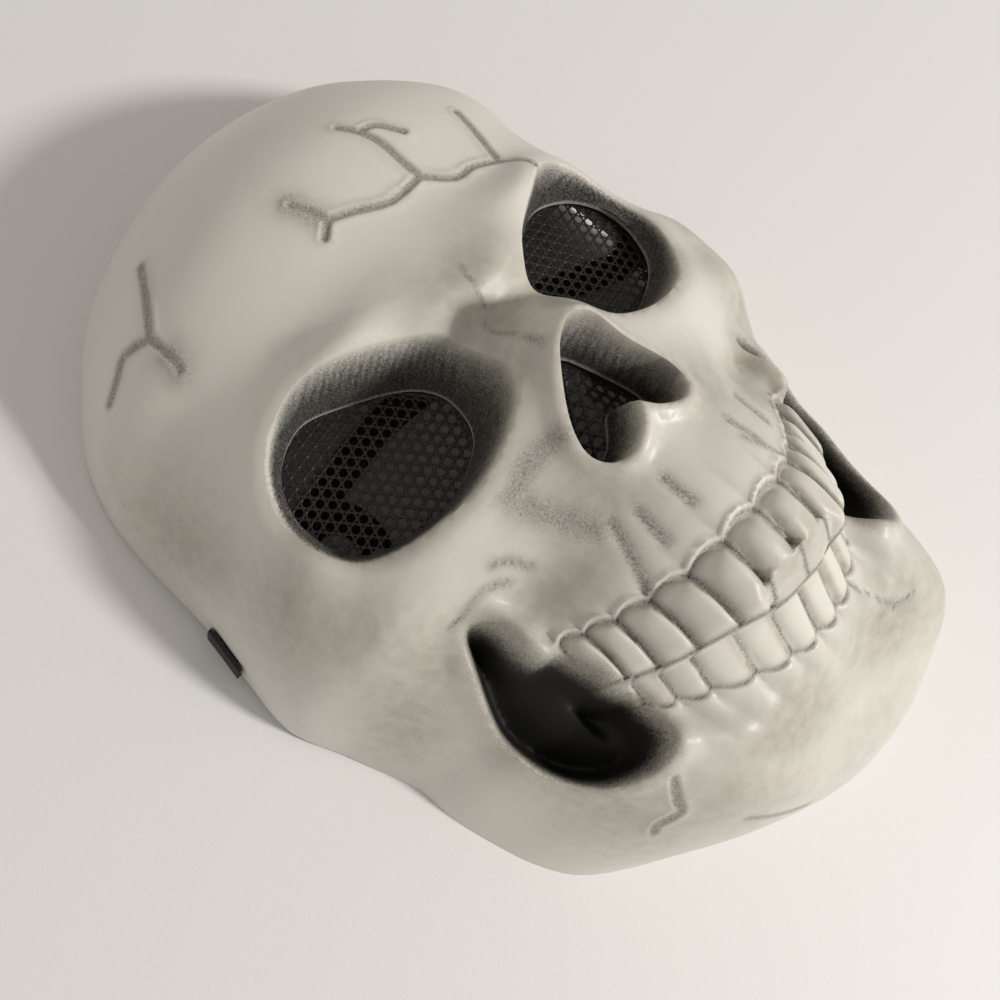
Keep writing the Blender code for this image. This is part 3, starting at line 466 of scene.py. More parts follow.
def carry_to_outline(a, b):
    """Carry the points of a square from -1 to 1 onto the mask's outline, crowded towards the rim."""
    u = a * np.sqrt(1 - b**2 / 2)
    v = b * np.sqrt(1 - a**2 / 2)
    radius = np.maximum(np.hypot(u, v), 1e-9)
    quarter = RIM_CROWDING * math.pi / 2
    crowded = np.sin(np.minimum(radius, 1) * quarter) / math.sin(quarter)
    u, v = u * crowded / radius, v * crowded / radius
    y = np.clip(v, -1, 1) * LENGTH / 2
    reach = np.sqrt(np.clip(1 - v**2, 1e-12, 1))
    return np.clip(u / reach, -1, 1) * section(y)[0], y


def face_middles(mesh):
    """The middle of each face as arrays."""
    middles = np.array([f.calc_center_median()[:] for f in mesh.faces])
    return middles[:, 0], middles[:, 1]


def halve_edges(mesh, wanted):
    """Halve the edges of the faces whose middle the test wants finer."""
    chosen = wanted(*face_middles(mesh))
    edges = {e for f, pick in zip(mesh.faces, chosen) if pick for e in f.edges}
    bmesh.ops.subdivide_edges(mesh, edges=list(edges), cuts=1, use_grid_fill=True)


# How far from the openings, the teeth and the cracks the face is cut finer, then finer still, then finest
NEAR_EYE, NEAR_NOSE, NEAR_HOLLOW, NEAR_LINE = 9 * MM, 8 * MM, 8 * MM, 6 * MM
NEAR_HALF, NEAR_ABOVE, NEAR_BELOW = 46 * MM, 24 * MM, 50 * MM
CLOSE_EYE, CLOSE_NOSE, CLOSE_HOLLOW, CLOSE_LINE = 4 * MM, 4.5 * MM, 6 * MM, 3.5 * MM
CLOSE_HALF, CLOSE_ABOVE, CLOSE_BELOW = 45 * MM, 10 * MM, 40 * MM
FINE_SIDE, FINE_ABOVE, FINE_BELOW, FINE_LINE = 2 * MM, 3.5 * MM, 3 * MM, 2 * MM
SLIDE_SHARE = 0.3


def near_holes(x, y):
    """Round the sockets, nose, hollows, muzzle and cracks."""
    across = np.abs(x)
    eye, nose, hollow = to_openings(x, y)
    muzzle = (across < NEAR_HALF) & (y < GUM_ALONG + NEAR_ABOVE) & (y > GUM_ALONG - NEAR_BELOW)
    lines = to_lines(x, y, CRACKS + SCRATCHES + SLOTS + SMUDGES) < NEAR_LINE
    openings = (np.abs(eye) < NEAR_EYE) | (np.abs(nose) < NEAR_NOSE) | (hollow < NEAR_HOLLOW)
    return openings | muzzle | lines


def near_edges(x, y):
    """Close round the same, and all over the teeth."""
    across = np.abs(x)
    eye, nose, hollow = to_openings(x, y)
    teeth = (across < CLOSE_HALF) & (y < GUM_ALONG + CLOSE_ABOVE) & (y > GUM_ALONG - CLOSE_BELOW)
    lines = to_lines(x, y, CRACKS + SCRATCHES + SLOTS) < CLOSE_LINE
    openings = (np.abs(eye) < CLOSE_EYE) | (np.abs(nose) < CLOSE_NOSE) | (np.abs(hollow) < CLOSE_HOLLOW)
    return openings | teeth | lines


def near_teeth(x, y):
    """Only the teeth and the cracks, at the finest."""
    across = np.abs(x)
    gum, _, low = bite(across, y)[:3]
    teeth = (across < MOUTH_HALF + FINE_SIDE) & (y < gum + FINE_ABOVE) & (y > low - FINE_BELOW)
    return teeth | (to_lines(x, y, CRACKS) < FINE_LINE)


def hole_edge(x, y):
    """Distance to the nearest edge of an eye or nose hole, negative inside it."""
    eye = outline_distance(np.abs(x), y, EYE_LINE)[0] + SOCKET_WALL - EYE_BEVEL
    nose = outline_distance(x, y, NOSE_LINE)[0] + NOSE_WALL - NOSE_BEVEL
    return np.minimum(eye, nose)


def wall_top(x, y):
    """Distance to the top of the nearest eye or nose wall."""
    eye = outline_distance(np.abs(x), y, EYE_LINE)[0] - EYE_BEVEL
    nose = outline_distance(x, y, NOSE_LINE)[0] - NOSE_BEVEL
    return np.minimum(eye, nose)


def run_edges_along(mesh, distance):
    """Make edges run along the line where a distance is nought, sliding or splitting what crosses it."""
    verts = list(mesh.verts)
    spots = np.array([v.co[:] for v in verts])
    gaps = dict(zip(verts, distance(spots[:, 0], spots[:, 1])))
    on_line = set()
    for edge in list(mesh.edges):
        first, second = edge.verts
        if gaps[first] * gaps[second] >= 0:
            continue
        share = gaps[first] / (gaps[first] - gaps[second])
        if share < SLIDE_SHARE or share > 1 - SLIDE_SHARE:
            near, far = (first, second) if share < SLIDE_SHARE else (second, first)
            share = min(share, 1 - share)
            near.co = near.co.lerp(far.co, share)
            gaps[near] = 0
            on_line.add(near)
    for edge in list(mesh.edges):
        first, second = edge.verts
        if gaps[first] * gaps[second] < 0:
            share = gaps[first] / (gaps[first] - gaps[second])
            middle = bmesh.utils.edge_split(edge, first, share)[1]
            gaps[middle] = 0
            on_line.add(middle)
    bmesh.ops.connect_verts(mesh, verts=list(on_line))


# How strong the black paint and the painted shade are, from 0 to 1, then the olive-brown stain and the
# painted shade laid on in its colour
EYE_PAINT, BROW_PAINT, NOSE_PAINT = 0.785, 0.09, 0.88
HOLLOW_PAINT, HOLLOW_MIST = 1.0, 0.26
GAP_SHADE, LOW_GAP_SHADE, GUM_SHADE, BITE_SHADE, MOUTH_SHADE = 0.55, 0.5, 0.42, 0.5, 0.8
CRACK_PAINT, SCRATCH_PAINT, SLOT_SHADE, SMUDGE_PAINT = 0.34, 0.38, 0.45, 0.30
HOLLOW_STAIN, EYE_STAIN, BROW_CLEAR, NOSE_STAIN = 0.75, 0.7, 0.6, 0.6
ROOT_SHADE, TOOTH_STAIN, GROOVE_SHADE = 0.6, 0.10, 0.55
LINE_STAIN, SMUDGE_STAIN, INNER_STAIN = 0.5, 0.4, 0.08


def misted(distance, reach):
    """A mist's strength beyond an edge."""
    return np.exp(-np.maximum(distance, 0) / reach)


def brushed(distance, width, sharp=2):
    """A brush stroke's strength beside its middle."""
    return np.exp(-np.abs(distance / width)**sharp)


def airbrush_and_shade(x, y):
    """How dark the misted paint and the painted shade in the mouth and the root slots are, and how strong
    the olive-brown stain and the painted shade beside the teeth and in the broad patches, from 0 to 1.
    """
    across = np.abs(x)
    eye, nose, hollow = to_openings(x, y)
    crack, scratch, slot, smudge = (to_lines(x, y, lines) for lines in (CRACKS, SCRATCHES, SLOTS, SMUDGES))
    _, tip, _, _, _, _, rows, in_mouth = bite(across, y)
    (side, half, start, end, down), (low_side, low_half, low_start, low_end, low_down) = rows
    gap = (1 - np.abs(side)) * half
    low_gap = (1 - np.abs(low_side)) * low_half
    brow = ease((y - EYE_ALONG + 4 * MM) / (14 * MM))

    # Painted shade: the gaps between the teeth, the recess under each gum and the bite line are darkened
    # where shade falls
    mouth = GAP_SHADE * brushed(gap, 0.55 * MM) * (down > -0.02) * (down < 1)
    mouth = mouth + LOW_GAP_SHADE * brushed(low_gap, 0.4 * MM) * (low_down > 0) * (low_down < 1)
    mouth = mouth + GUM_SHADE * (brushed(y - start, 0.55 * MM) + brushed(y - low_end, 0.5 * MM))
    mouth = mouth + BITE_SHADE * brushed(y - tip, 0.6 * MM)
    dark = np.maximum.reduce([
        (EYE_PAINT + BROW_PAINT * brow) * ease((0.9 * MM - eye) / (1.6 * MM)),
        NOSE_PAINT * ease((0.5 * MM - nose) / (1.6 * MM)),
        HOLLOW_PAINT * ease((1.6 * MM - hollow) / (2.6 * MM)),
        HOLLOW_MIST * misted(hollow - 1 * MM, 1.8 * MM) * (hollow > 0),
        np.clip(mouth, 0, MOUTH_SHADE) * in_mouth * (across < MOUTH_HALF),
        CRACK_PAINT * brushed(crack, 1.05 * MM, 4),
        SCRATCH_PAINT * brushed(scratch, 0.5 * MM),
        # Painted shade in the slots between the upper roots
        SLOT_SHADE * brushed(slot, 1.0 * MM),
        SMUDGE_PAINT * brushed(smudge, 2.6 * MM),
    ])

    # Painted shade between the roots and in the grooves round the teeth, laid on in the stain colour
    roots = misted(y - start, 8 * MM) * np.abs(side)**3 * (y > start)
    roots = roots + misted(low_end - y, 9 * MM) * np.abs(low_side)**3 * (y < low_end)
    grooves = brushed(gap, 1.1 * MM) + brushed(y - start, 1.5 * MM)
    grooves = grooves + brushed(y - low_end, 1.5 * MM) + brushed(y - tip, 1.2 * MM)
    on_teeth = (y < start) & (y > low_end) & (across < MOUTH_HALF)
    stains_and_shade = [
        HOLLOW_STAIN * misted(hollow, 5 * MM),
        EYE_STAIN * misted(eye, 3 * MM) * (1 - BROW_CLEAR * brow),
        NOSE_STAIN * misted(nose, 2 * MM),
        ROOT_SHADE * roots * in_mouth,
        (TOOTH_STAIN + GROOVE_SHADE * np.minimum(grooves, 1)) * on_teeth,
        LINE_STAIN * brushed(np.minimum(crack, scratch), 1.8 * MM),
        SMUDGE_STAIN * brushed(smudge, 5 * MM),
    ]
    # The broad patches are mostly painted shade, partly olive-brown stain
    for middle_x, middle_y, wide, long, strength in SHADE_WASHES:
        spread = ((across / MM - middle_x) / wide)**2 + ((y / MM - middle_y) / long)**2
        stains_and_shade.append(strength * np.exp(-0.5 * spread))
    return np.clip(dark, 0, 1), np.clip(np.maximum.reduce(stains_and_shade), 0, 1)


GRID_ACROSS, GRID_ALONG = 52, 70
RIM_POINTS = 240
SHARP_EDGE = math.radians(62)
mould = bmesh.new()
bmesh.ops.create_grid(mould, x_segments=GRID_ACROSS, y_segments=GRID_ALONG, size=1)
spots = np.array([v.co[:] for v in mould.verts])
for vert, x, y in zip(mould.verts, *carry_to_outline(spots[:, 0], spots[:, 1])):
    vert.co = (x, y, 0)
halve_edges(mould, near_holes)
halve_edges(mould, near_edges)
run_edges_along(mould, wall_top)
run_edges_along(mould, hole_edge)
inside = hole_edge(*face_middles(mould)) < 0
bmesh.ops.delete(mould, geom=[f for f, gone in zip(mould.faces, inside) if gone], context="FACES")

# The inner face is a copy of the outer one, drawn in by one wall and joined to it round every edge
inner_layer = mould.verts.layers.float.new("inside")
dark_layer = mould.verts.layers.float.new("dark")
stain_and_shade_layer = mould.verts.layers.float.new("stain_and_shade")
outer_faces = set(mould.faces)
copy = bmesh.ops.duplicate(mould, geom=list(mould.verts) + list(mould.edges) + list(mould.faces))
inner_faces = [g for g in copy["geom"] if isinstance(g, bmesh.types.BMFace)]
for item in copy["geom"]:
    if isinstance(item, bmesh.types.BMVert):
        item[inner_layer] = 1.0
partner = copy["vert_map"]
edge_pairs = [(e.verts[0], e.verts[1]) for e in mould.edges
              if e.is_boundary and e.verts[0][inner_layer] == 0 and e.link_faces[0] in outer_faces]
bmesh.ops.reverse_faces(mould, faces=inner_faces)
for first, second in edge_pairs:
    mould.faces.new((second, first, partner[first], partner[second]))

# Only the outer face is cut finer for the teeth and the cracks
x, y = face_middles(mould)
outside = np.array([all(v[inner_layer] == 0 for v in f.verts) for f in mould.faces])
chosen = near_teeth(x, y) & outside
edges = {e for f, pick in zip(mould.faces, chosen) if pick for e in f.edges
         if all(v[inner_layer] == 0 and not v.is_boundary for v in e.verts)}
bmesh.ops.subdivide_edges(mould, edges=list(edges), cuts=1, use_grid_fill=True)

outer = [v for v in mould.verts if v[inner_layer] < 0.5]
inner = [v for v in mould.verts if v[inner_layer] >= 0.5]
angle = np.linspace(0, math.tau, RIM_POINTS, endpoint=False)
rim_y = np.sin(angle) * LENGTH / 2
rim_line = np.column_stack([np.sign(np.cos(angle)) * section(rim_y)[0], rim_y])

spots = np.array([v.co[:] for v in outer])
x, y = spots[:, 0], spots[:, 1]
rim = outline_distance(x, y, rim_line)[0]
# The dark and stain layers hold the paint and the stain together with painted shade in the mouth, the
# slots, beside the teeth and in the broad patches
dark, stain_and_shade = airbrush_and_shade(x, y)
z = np.where(rim > -AT_RIM, rim_height(y), scored_height(x, y))
for vert, spot_x, spot_y, spot_z, d, s in zip(outer, x + sway(y), y + skew(x, y), z, dark, stain_and_shade):
    vert.co = (spot_x, spot_y, spot_z)
    vert[dark_layer] = d
    vert[stain_and_shade_layer] = s

spots = np.array([v.co[:] for v in inner])
x, y = spots[:, 0], spots[:, 1]
rim, out_x, out_y = outline_distance(x, y, rim_line)
pull = WALL * np.clip(1 + rim / RIM_BLEND, 0, 1)
x, y = x - out_x * pull, y - out_y * pull
z = np.where(rim > -AT_RIM, rim_height(spots[:, 1]), inner_height(x, y))
for vert, spot_x, spot_y, spot_z in zip(inner, x + sway(y), y + skew(x, y), z):
    vert.co = (spot_x, spot_y, spot_z)
    vert[stain_and_shade_layer] = INNER_STAIN
bmesh.ops.recalc_face_normals(mould, faces=mould.faces)


def make_object(name, mesh, smooth=True):
    """Turn a bmesh into an object of the scene."""
    data = bpy.data.meshes.new(name)
    mesh.to_mesh(data)
    mesh.free()
    if smooth:
        data.shade_smooth()
    thing = bpy.data.objects.new(name, data)
    bpy.context.scene.collection.objects.link(thing)
    return thing


skull_shell = make_object("skull_shell", mould)
skull_shell.data.set_sharp_from_angle(angle=SHARP_EDGE)


def new_material(name):
    """An empty material with its Principled shader."""
    material = bpy.data.materials.new(name)
    material.use_nodes = True
    tree = material.node_tree
    return material, tree.nodes, tree.links, tree.nodes["Principled BSDF"]


def noise(nodes, links, vector, scale, detail=2.0, rough=0.5):
    """A noise texture whose scale is in cells per metre."""
    node = nodes.new("ShaderNodeTexNoise")
    node.inputs["Scale"].default_value = scale
    node.inputs["Detail"].default_value = detail
    node.inputs["Roughness"].default_value = rough
    links.new(vector, node.inputs["Vector"])
    return node.outputs["Fac"]


def sums(nodes, links, how, a, b, clamp=False):
    """One sum of two numbers or sockets."""
    node = nodes.new("ShaderNodeMath")
    node.operation = how
    node.use_clamp = clamp
    for socket, value in zip(node.inputs, (a, b)):
        if isinstance(value, (int, float)):
            socket.default_value = value
        else:
            links.new(value, socket)
    return node.outputs[0]


def scaled(nodes, links, value, times, plus=0.0):
    """A number or socket times one number plus another."""
    return sums(nodes, links, "ADD", sums(nodes, links, "MULTIPLY", value, times), plus)


def blend_colour(nodes, links, share, a, b):
    """Mix two colours or colour sockets by a share."""
    node = nodes.new("ShaderNodeMix")
    node.data_type = "RGBA"
    links.new(share, node.inputs[0])
    for socket, value in ((node.inputs[6], a), (node.inputs[7], b)):
        if isinstance(value, tuple):
            socket.default_value = (*value, 1)
        else:
            links.new(value, socket)
    return node.outputs[2]


def raise_surface(nodes, links, shader, height, strength, distance):
    """Give a shader a bump from a height."""
    bump = nodes.new("ShaderNodeBump")
    bump.inputs["Strength"].default_value = strength
    bump.inputs["Distance"].default_value = distance
    links.new(height, bump.inputs["Height"])
    links.new(bump.outputs["Normal"], shader.inputs["Normal"])


def attribute(nodes, name):
    """A number painted on the mesh."""
    node = nodes.new("ShaderNodeAttribute")
    node.attribute_name = name
    return node.outputs["Fac"]


BONE_DEEP = (0.66, 0.635, 0.575)
BONE_PALE = (0.735, 0.715, 0.665)
# The stain colour carries the olive-brown stain and painted shade; the paint colour carries the black
# paint and the painted shade in the mouth and the slots
STAIN_AND_SHADE_COLOUR = (0.20, 0.178, 0.130)
PAINT_AND_SHADE_COLOUR = (0.005, 0.0048, 0.004)
CLOUD_CELLS, SPECK_CELLS, STREAK_CELLS, FINE_CELLS, BROAD_CELLS = 28, 1900, 260, 420, 70
bone, nodes, links, shader = new_material("painted_bone_plastic")
place = nodes.new("ShaderNodeTexCoord").outputs["Object"]
dark = attribute(nodes, "dark")
stain_and_shade = attribute(nodes, "stain_and_shade")

# The stain and its painted shade gather in streaks, and the sprayed paint and the painted shade break into
# specks where they thin out
clouds = noise(nodes, links, place, CLOUD_CELLS, 3, 0.55)
specks = noise(nodes, links, place, SPECK_CELLS, 1, 0.5)
streaks = noise(nodes, links, place, STREAK_CELLS, 3, 0.6)
base = blend_colour(nodes, links, clouds, BONE_DEEP, BONE_PALE)
stain_and_shade_amount = sums(nodes, links, "MULTIPLY", stain_and_shade, scaled(nodes, links, streaks, 0.9, 0.35), clamp=True)
tinted = blend_colour(nodes, links, stain_and_shade_amount, base, STAIN_AND_SHADE_COLOUR)
grain = sums(nodes, links, "MULTIPLY", sums(nodes, links, "SUBTRACT", specks, 0.5), 5.0)
thinning = sums(nodes, links, "MULTIPLY", dark, sums(nodes, links, "SUBTRACT", 1.0, dark))
speckled = sums(nodes, links, "MULTIPLY", grain, thinning)
spray_and_shade = sums(nodes, links, "ADD", sums(nodes, links, "MULTIPLY", dark, 1.02), speckled, clamp=True)
painted = blend_colour(nodes, links, spray_and_shade, tinted, PAINT_AND_SHADE_COLOUR)
links.new(painted, shader.inputs["Base Color"])
links.new(scaled(nodes, links, spray_and_shade, 0.25, 0.40), shader.inputs["Roughness"])
shader.inputs["Subsurface Weight"].default_value = 0.35
shader.inputs["Subsurface Radius"].default_value = (1.0, 0.87, 0.72)
shader.inputs["Subsurface Scale"].default_value = 0.003
shader.inputs["Specular IOR Level"].default_value = 0.4
fine_grain = sums(nodes, links, "MULTIPLY", noise(nodes, links, place, FINE_CELLS, 2), 0.7)
broad_grain = sums(nodes, links, "MULTIPLY", noise(nodes, links, place, BROAD_CELLS, 2), 1.6)
raise_surface(nodes, links, shader, sums(nodes, links, "ADD", fine_grain, broad_grain), 0.18, 0.4 * MM)
skull_shell.data.materials.append(bone)
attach(skull_shell, "root")
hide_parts("shell")

# The eyes and the nose are backed by thin black sheets, punched with round holes in a honeycomb.
# Each sheet laps behind its opening's edge; the nose's is folded along the middle.
SHEET_LAP = 1.4 * MM
GAP = 0.3 * MM
HOLE_PITCH = 3.0 * MM
HOLE_RADIUS = 1.05 * MM
PINHOLE = 0.45 * MM
PINHOLE_MARGIN = 1.2 * MM
HOLE_ROUND = 0.93
EDGE_BITE = 0.3 * MM
FILM_THICK = 0.35 * MM
EYE_SHEET_DROP = 1.1 * WALL
EYE_SHEET_BOW = 0.8 * MM
EYE_SHEET_SINK = 0.3 * MM
EYE_SHEET_REACH = 25 * MM
NOSE_SHEET_DROP = 1.5 * WALL
SHEET_TURN = math.radians(8)


def sheet_edge(line, inset):
    """An opening's outline moved inwards."""
    following = np.roll(line, -1, axis=0)
    run = following - np.roll(line, 1, axis=0)
    run /= np.linalg.norm(run, axis=1)[:, None]
    turn = np.sign(np.sum(line[:, 0] * following[:, 1] - following[:, 0] * line[:, 1]))
    return line - np.column_stack([run[:, 1], -run[:, 0]]) * turn * inset


def honeycomb_sheet(name, line, height, inset, turned):
    """A punched sheet, cut to an outline and laid on a height."""
    edge = sheet_edge(line, inset)
    low, high = edge.min(axis=0), edge.max(axis=0)
    middle = (low + high) / 2
    radius = HOLE_PITCH / math.sqrt(3)
    sheet = bmesh.new()
    bmesh.ops.create_circle(sheet, cap_ends=True, segments=6, radius=radius)
    across = int((high - low).max() / HOLE_PITCH * 0.75) + 2
    along = int((high - low).max() / HOLE_PITCH * 0.85) + 2
    cell = list(sheet.verts) + list(sheet.edges) + list(sheet.faces)
    for i in range(-across, across + 1):
        if i:
            made = bmesh.ops.duplicate(sheet, geom=cell)["geom"]
            verts = [g for g in made if isinstance(g, bmesh.types.BMVert)]
            bmesh.ops.translate(sheet, verts=verts, vec=(i * HOLE_PITCH, 0, 0))
    row = list(sheet.verts) + list(sheet.edges) + list(sheet.faces)
    for j in range(-along, along + 1):
        if j:
            made = bmesh.ops.duplicate(sheet, geom=row)["geom"]
            verts = [g for g in made if isinstance(g, bmesh.types.BMVert)]
            shift = HOLE_PITCH / 2 if j % 2 else 0
            bmesh.ops.translate(sheet, verts=verts, vec=(shift, j * HOLE_PITCH * math.sqrt(3) / 2, 0))
    bmesh.ops.remove_doubles(sheet, verts=sheet.verts, dist=0.05 * MM)
    bmesh.ops.rotate(sheet, verts=sheet.verts, matrix=Matrix.Rotation(turned, 3, "Z"))
    bmesh.ops.translate(sheet, verts=sheet.verts, vec=(*middle, 0))
    spots = np.array([v.co[:] for v in sheet.verts])
    gaps = dict(zip(sheet.verts, outline_distance(spots[:, 0], spots[:, 1], edge)[0]))
    beyond = [f for f in sheet.faces if min(gaps[v] for v in f.verts) > -EDGE_BITE]
    bmesh.ops.delete(sheet, geom=beyond, context="FACES")
    spots = np.array([v.co[:] for v in sheet.verts])
    gap, out_x, out_y = outline_distance(spots[:, 0], spots[:, 1], edge)
    whole = {v for v, g in zip(sheet.verts, gap) if g > -EDGE_BITE / 2}
    for vert, g, ox, oy in zip(sheet.verts, gap, out_x, out_y):
        if g > 0:
            vert.co.x -= ox * g
            vert.co.y -= oy * g
    corners = [v for v, g in zip(sheet.verts, gap) if g < -PINHOLE_MARGIN and len(v.link_faces) == 3]
    bmesh.ops.bevel(sheet, geom=corners, offset=PINHOLE, offset_type="OFFSET", affect="VERTICES",
                    segments=1, profile=0.5, material=-1)
    pinholes = [f for f in sheet.faces if len(f.verts) == 3]
    bmesh.ops.delete(sheet, geom=pinholes, context="FACES_ONLY")
    punched = [f for f in sheet.faces if not any(v in whole for v in f.verts)]
    rim = HOLE_PITCH / 2 - HOLE_ROUND * HOLE_RADIUS
    bmesh.ops.inset_individual(sheet, faces=punched, thickness=rim, depth=0)
    bmesh.ops.delete(sheet, geom=punched, context="FACES")
    for vert in sheet.verts:
        vert.co.z = height(vert.co.x, vert.co.y)
    bmesh.ops.recalc_face_normals(sheet, faces=sheet.faces)
    if sum(f.normal.z for f in sheet.faces) < 0:
        bmesh.ops.reverse_faces(sheet, faces=sheet.faces)
    thing = make_object(name, sheet)
    wall = thing.modifiers.new("thickness", "SOLIDIFY")
    wall.thickness = FILM_THICK
    wall.offset = -1
    smoother = thing.modifiers.new("rounded holes", "SUBSURF")
    smoother.levels = smoother.render_levels = 1
    return thing


def eye_sheet_height(x, y):
    """The top of an eye sheet, just under the floor of its socket, bowed a little."""
    out = min(math.hypot(abs(x) - EYE_ACROSS, y - EYE_ALONG) / EYE_SHEET_REACH, 1)
    return socket_floor(abs(x)) - EYE_SHEET_DROP - GAP + EYE_SHEET_BOW * (1 - out**2) - EYE_SHEET_SINK


def nose_sheet_height(x, y):
    """The top of the nose sheet, folded up along its middle."""
    return nose_floor(abs(x)) - NOSE_SHEET_DROP - GAP


FILM_DEEP = (0.008, 0.008, 0.009)
FILM_PALE = (0.020, 0.019, 0.019)
film, nodes, links, shader = new_material("punched_black_sheet")
place = nodes.new("ShaderNodeTexCoord").outputs["Object"]
scuffs = noise(nodes, links, place, 180, 3, 0.6)
scuffed = blend_colour(nodes, links, scuffs, FILM_DEEP, FILM_PALE)
links.new(scuffed, shader.inputs["Base Color"])
links.new(scaled(nodes, links, scuffs, 0.2, 0.2), shader.inputs["Roughness"])
shader.inputs["Coat Weight"].default_value = 0.12
shader.inputs["Specular IOR Level"].default_value = 0.35
shader.inputs["Coat Roughness"].default_value = 0.15

eye_inset = SOCKET_WALL - EYE_BEVEL - SHEET_LAP
nose_inset = NOSE_WALL - NOSE_BEVEL - SHEET_LAP
for node, line, height, inset, turned in (
        ("eye_mesh_right", EYE_LINE * (-1, 1), eye_sheet_height, eye_inset, SHEET_TURN),
        ("eye_mesh_left", EYE_LINE, eye_sheet_height, eye_inset, SHEET_TURN),
        ("nose_mesh", NOSE_LINE, nose_sheet_height, nose_inset, 0)):
    film_piece = honeycomb_sheet(node + "_film", line, height, inset, turned)
    film_piece.data.materials.append(film)
    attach(film_piece, "root")
    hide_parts(node)

# The head strap is flat black knitted elastic, laid slack across the hollow from temple to temple.
# It curls over itself once under the right eye and ends inside the two folds at the rim.
STRAP_WIDE = 9.5 * MM
STRAP_THICK = 1.2 * MM
STRAP_STEPS = 9
ANCHOR_TALL = 9 * MM
END_SHARES = (0.85, 0.35)
STRAP_ROUTE = [
    (-0.865, 0.088, 1.2, 90), (-0.757, 0.070, 0.9, 78), (-0.627, 0.043, 0.9, 82),
    (-0.519, 0.035, 0.9, 100), (-0.443, 0.051, 0.9, 145), (-0.411, 0.082, 0.9, 180),
    (-0.427, 0.111, 0.9, 212), (-0.486, 0.127, 1.0, 250), (-0.541, 0.129, 1.2, 270),
    (-0.580, 0.130, 2.5, 270), (-0.541, 0.132, 3.8, 272), (-0.443, 0.140, 3.4, 284),
    (-0.281, 0.151, 2.6, 278), (-0.130, 0.156, 1.8, 272), (0.020, 0.155, 1.1, 268),
    (0.216, 0.150, 0.9, 266), (0.411, 0.144, 0.9, 262), (0.584, 0.136, 0.9, 252),
    (0.735, 0.117, 0.9, 244), (0.865, 0.098, 1.2, 262),
]


def wall_across(height, along):
    """Half width of the outer face at a height over the table, near the rim."""
    half, crest, square, full = section(along)
    share = np.clip((height - rim_height(along)) / crest, 0, 1)
    return half * (1 - share**full)**(1 / square)


rim_low = rim_height(ANCHOR_ALONG)
reach = [wall_across(rim_low + up, ANCHOR_ALONG) - WALL - 2 * GAP - STRAP_THICK for up in (0, ANCHOR_TALL)]
ends = []
for share in END_SHARES:
    across = reach[0] + (reach[1] - reach[0]) * share - STRAP_THICK / 2 - 4 * GAP
    ends.append((across, ANCHOR_ALONG, rim_low + share * ANCHOR_TALL))
rows = [(a * HALF_WIDTH, b * LENGTH, up * STRAP_THICK, heading) for a, b, up, heading in STRAP_ROUTE]
rows = [(-a, b, c, 90) for a, b, c in ends] + rows + [(a, b, c, 270) for a, b, c in reversed(ends)]
line = curve_through(rows, steps=STRAP_STEPS)
spots = line[:, :3]
run = np.gradient(spots, axis=0)
run /= np.linalg.norm(run, axis=1)[:, None]
heading = np.radians(line[:, 3])
wide = np.column_stack([np.cos(heading), np.sin(heading), np.zeros(len(line))])
wide -= run * np.sum(wide * run, axis=1)[:, None]
wide /= np.linalg.norm(wide, axis=1)[:, None]
thick = np.cross(run, wide)
travelled = np.concatenate([[0], np.cumsum(np.linalg.norm(np.diff(spots, axis=0), axis=1))])
# The section: two gently ribbed faces and rounded selvedges, as shares of half width and half thickness
STRAP_SECTION = [(1.00, 0.0), (0.985, 0.6), (0.93, 0.9)] + [
    (0.86 - 1.72 * i / 8, 1.0) for i in range(9)] + [(-0.93, 0.9), (-0.985, 0.6), (-1.00, 0.0)]
STRAP_SECTION = STRAP_SECTION + [(a, -b) for a, b in STRAP_SECTION[-2:0:-1]]


def place_in_section(vert):
    """Which corner of the strap's section a vertex is."""
    return min(range(len(STRAP_SECTION)), key=lambda k: (
        abs(vert.co.x - STRAP_SECTION[k][0]) + abs(vert.co.y - STRAP_SECTION[k][1])))


band = bmesh.new()
across_layer = band.verts.layers.float.new("strap_across")
along_layer = band.verts.layers.float.new("strap_along")
ring = [band.verts.new((a, b, 0)) for a, b in STRAP_SECTION]
band.faces.new(ring)
rings = [ring]
for i in range(1, len(spots)):
    edges = [e for e in band.edges if all(v in rings[-1] for v in e.verts)]
    made = bmesh.ops.extrude_edge_only(band, edges=edges)["geom"]
    fresh = [g for g in made if isinstance(g, bmesh.types.BMVert)]
    for vert in fresh:
        vert.co.z = i
    rings.append(sorted(fresh, key=place_in_section))
band.faces.new(rings[-1])
for spot, w, t, distance, ring in zip(spots, wide, thick, travelled, rings):
    for vert, (a, b) in zip(ring, STRAP_SECTION):
        vert[across_layer] = a * STRAP_WIDE / 2
        vert[along_layer] = distance
        vert.co = Vector(spot + w * a * STRAP_WIDE / 2 + t * b * STRAP_THICK / 2)
bmesh.ops.recalc_face_normals(band, faces=band.faces)
elastic_strap = make_object("elastic_strap", band)

RIB_PITCH = 0.95 * MM
STITCH_PITCH = 0.7 * MM
ELASTIC_DEEP = (0.006, 0.006, 0.007)
ELASTIC_PALE = (0.024, 0.024, 0.026)


